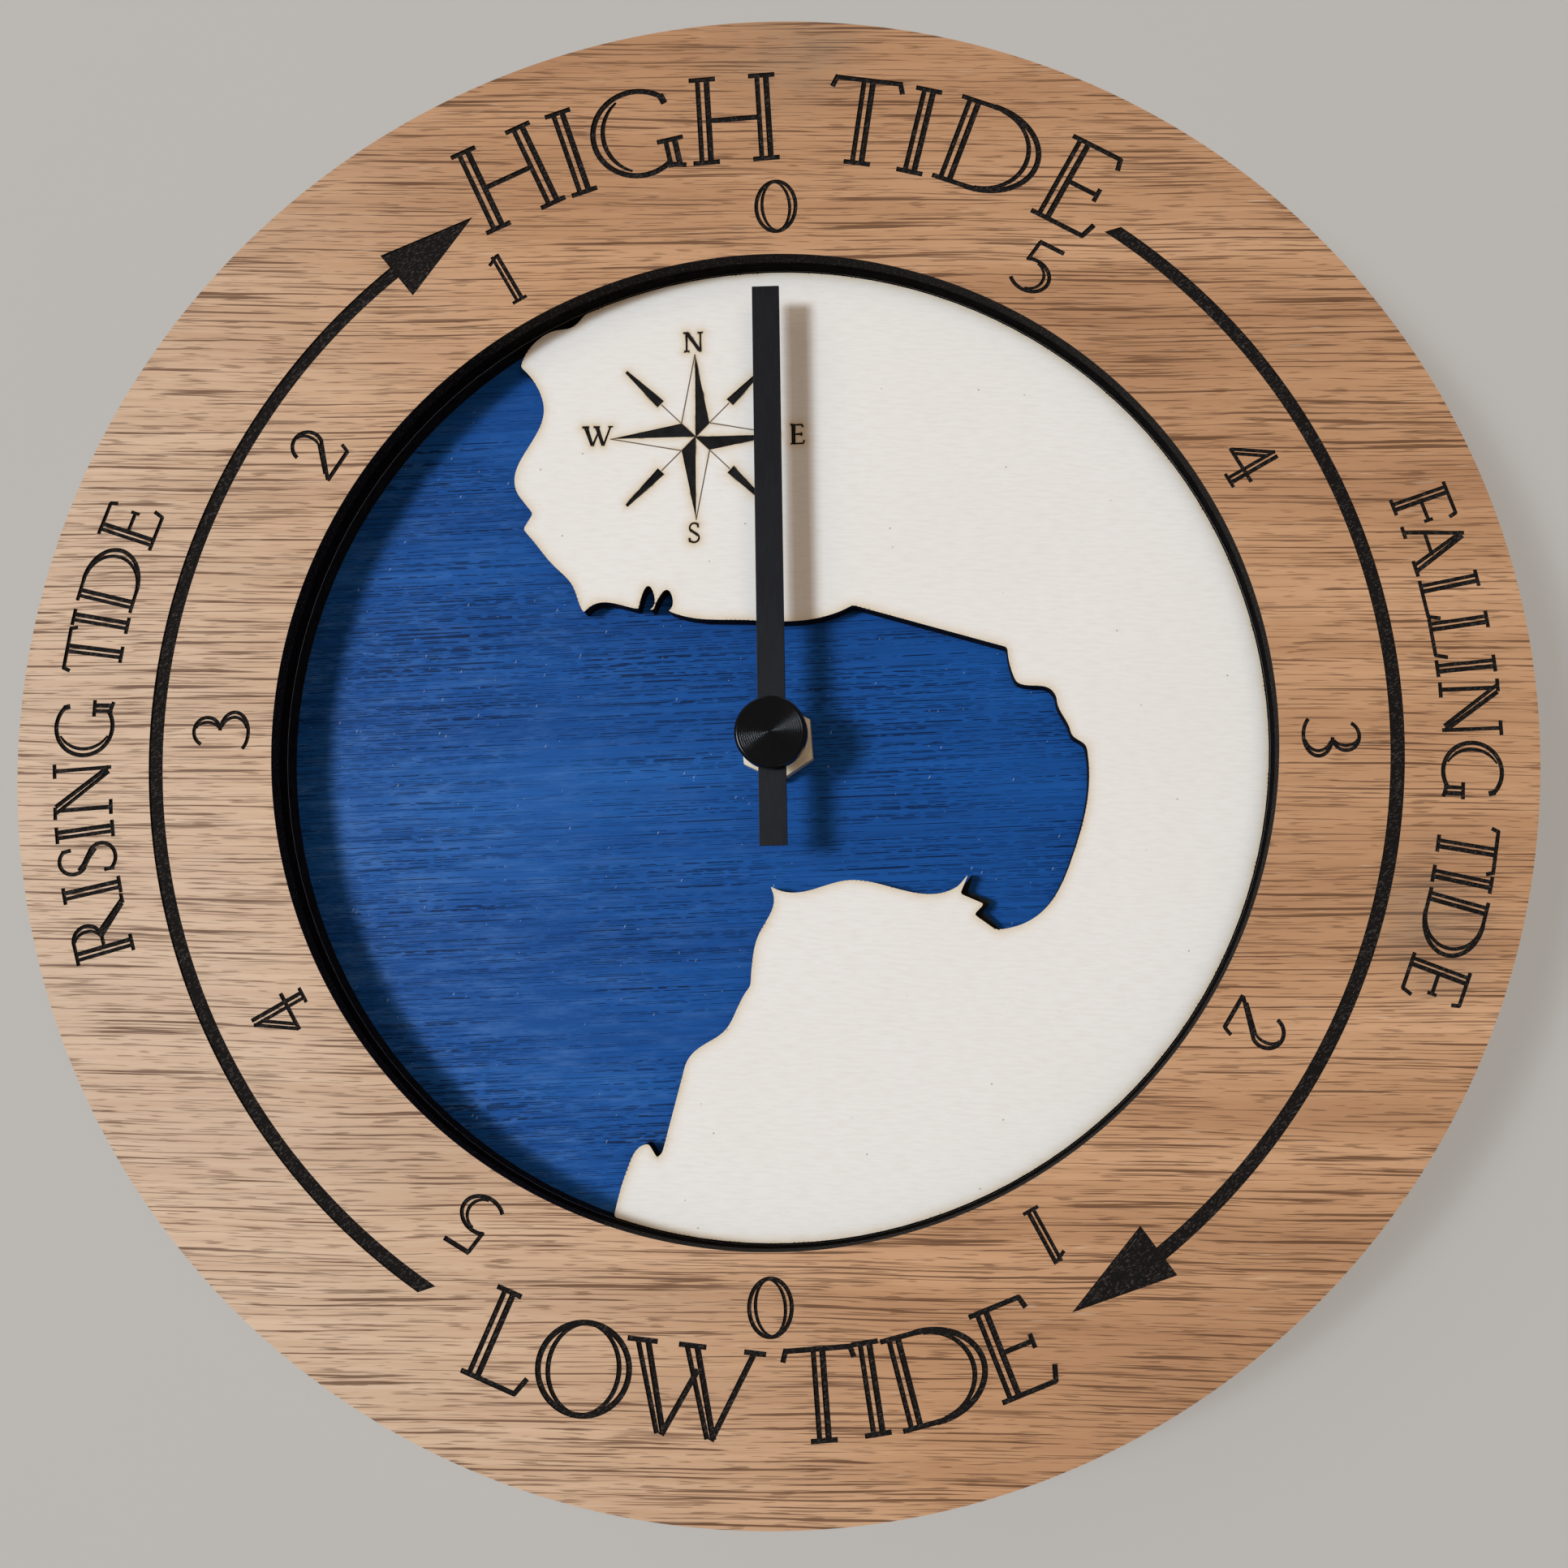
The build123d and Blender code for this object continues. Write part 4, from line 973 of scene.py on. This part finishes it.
# welded copy of a node with its flats joined and its sharp edges bevelled
def makeSoftened(node, name, edge):
    mesh = frame["nodes"][node].data.copy()
    mesh.name = name
    shell = welded(mesh, 1e-6)
    bmesh.ops.dissolve_limit(shell, angle_limit=softEdges["flat"], verts=shell.verts, edges=shell.edges)
    shell.to_mesh(mesh)
    shell.free()
    piece = bpy.data.objects.new(name, mesh)
    bpy.context.collection.objects.link(piece)
    broken = piece.modifiers.new("brokenEdge", "BEVEL")
    broken.width = edge / 1000
    broken.segments = softEdges["segments"]
    broken.limit_method = "ANGLE"
    broken.angle_limit = softEdges["sharp"]
    mesh.polygons.foreach_set("use_smooth", np.full(len(mesh.polygons), False))
    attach(piece, frame["nodes"][node]["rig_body"])
    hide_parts(node)


for node, name, edge in softEdges["pieces"]:
    makeSoftened(node, name, edge)
print("broken edges:", len(softEdges["pieces"]), "pieces")

wall = {
    "size": 4.0,
    "gap": 0.0004,
    "colour": (0.50, 0.480, 0.455, 1),
    "mottle": 1.08,
    "ownTone": 0.6,  # share of its look that is its own light, so that it stays even
    "glow": 0.96,
}


# wall behind the clock: seen from the front only, and open to light from behind
def makeWall(wall):
    half = wall["size"] / 2
    y = cadBox[1][1] + wall["gap"]
    mesh = bpy.data.meshes.new("wall")
    corners = [(-half, y, -half), (half, y, -half), (half, y, half), (-half, y, half)]
    mesh.from_pydata(corners, [], [(0, 1, 2, 3)])
    material, tree, shader = newFinish("wallPaint")
    mottle = noise(tree, (6, 6, 6), detail=3)
    colour = mixed(tree, mottle, wall["colour"], toned(wall["colour"], wall["mottle"]))
    link(tree, colour, shader, "Base Color")
    shader.inputs["Roughness"].default_value = 0.9
    shader.inputs["Specular IOR Level"].default_value = 0.1
    ray = add(tree, "LightPath").outputs
    back = add(tree, "NewGeometry").outputs["Backfacing"]
    through = sums(tree, "MAXIMUM", back, ray["Is Shadow Ray"])
    clear = add(tree, "BsdfTransparent")
    tone = add(tree, "Emission", {"Color": wall["colour"], "Strength": wall["glow"]})
    seen = times(tree, ray["Is Camera Ray"], wall["ownTone"])
    paint = add(tree, "MixShader", {0: seen, 1: shader.outputs[0], 2: tone.outputs[0]})
    pick = add(tree, "MixShader", {0: through, 1: paint.outputs[0], 2: clear.outputs[0]})
    output = next(node for node in tree.nodes if node.type == "OUTPUT_MATERIAL")
    tree.links.new(pick.outputs[0], output.inputs["Surface"])
    mesh.materials.append(material)
    plane = bpy.data.objects.new("wall", mesh)
    bpy.context.collection.objects.link(plane)


makeWall(wall)

cool = (0.78, 0.90, 1.0)
warm = (1.0, 0.81, 0.65)
# soft lamps aimed at the clock: place and size in metres, power in watts, whether they show in reflections
lamps = {
    "window": {"at": (-2.63, -3.65, 0.0), "size": 1.05, "power": 128, "colour": cool, "glints": True},
    "pane": {"at": (-2.63, -3.65, 0.0), "size": 0.34, "power": 28, "colour": cool, "glints": True},
    "sky": {"at": (-2.4, -2.6, 1.0), "size": 2.4, "power": 28, "colour": warm, "glints": False},
    "room": {"at": (0.9, -3.0, 0.2), "size": 1.8, "power": 18, "colour": warm, "glints": False},
    "behind": {"at": (0.7, 1.2, 0.7), "size": 1.0, "power": 18, "colour": (1, 1, 1), "glints": True},
}
for name, lamp in lamps.items():
    light = bpy.data.lights.new(name, "AREA")
    light.energy, light.size, light.color = lamp["power"], lamp["size"], lamp["colour"]
    holder = bpy.data.objects.new(name, light)
    bpy.context.collection.objects.link(holder)
    holder.location = lamp["at"]
    holder.rotation_euler = (-Vector(lamp["at"])).to_track_quat("-Z", "Y").to_euler()
    holder.visible_glossy = lamp["glints"]

around = {"colour": warm + (1,), "strength": 0.18}
world = bpy.data.worlds.new("room")
bpy.context.scene.world = world
world.use_nodes = True
backdrop = world.node_tree.nodes["Background"].inputs
backdrop["Color"].default_value = around["colour"]
backdrop["Strength"].default_value = around["strength"]

# camera fitted to the two edges of the dial ring: metres, degrees, millimetres of lens and sensor
view = {
    "at": (0.03125, -0.28972, -0.04608),
    "turn": (95.875, -0.529, 0.987),
    "lens": 32.5,
    "sensor": 36,
    "shift": (-0.0770, 0.0265),
    "nearest": 0.01,
}
lens = bpy.data.cameras.new("view")
lens.lens, lens.sensor_width, lens.sensor_fit = view["lens"], view["sensor"], "HORIZONTAL"
lens.shift_x, lens.shift_y = view["shift"]
lens.clip_start = view["nearest"]
camera = bpy.data.objects.new("view", lens)
bpy.context.collection.objects.link(camera)
camera.location = view["at"]
camera.rotation_euler = np.radians(view["turn"])
bpy.context.scene.camera = camera
bpy.context.scene.view_settings.view_transform = "Standard"
print("stage, lamps and camera set")
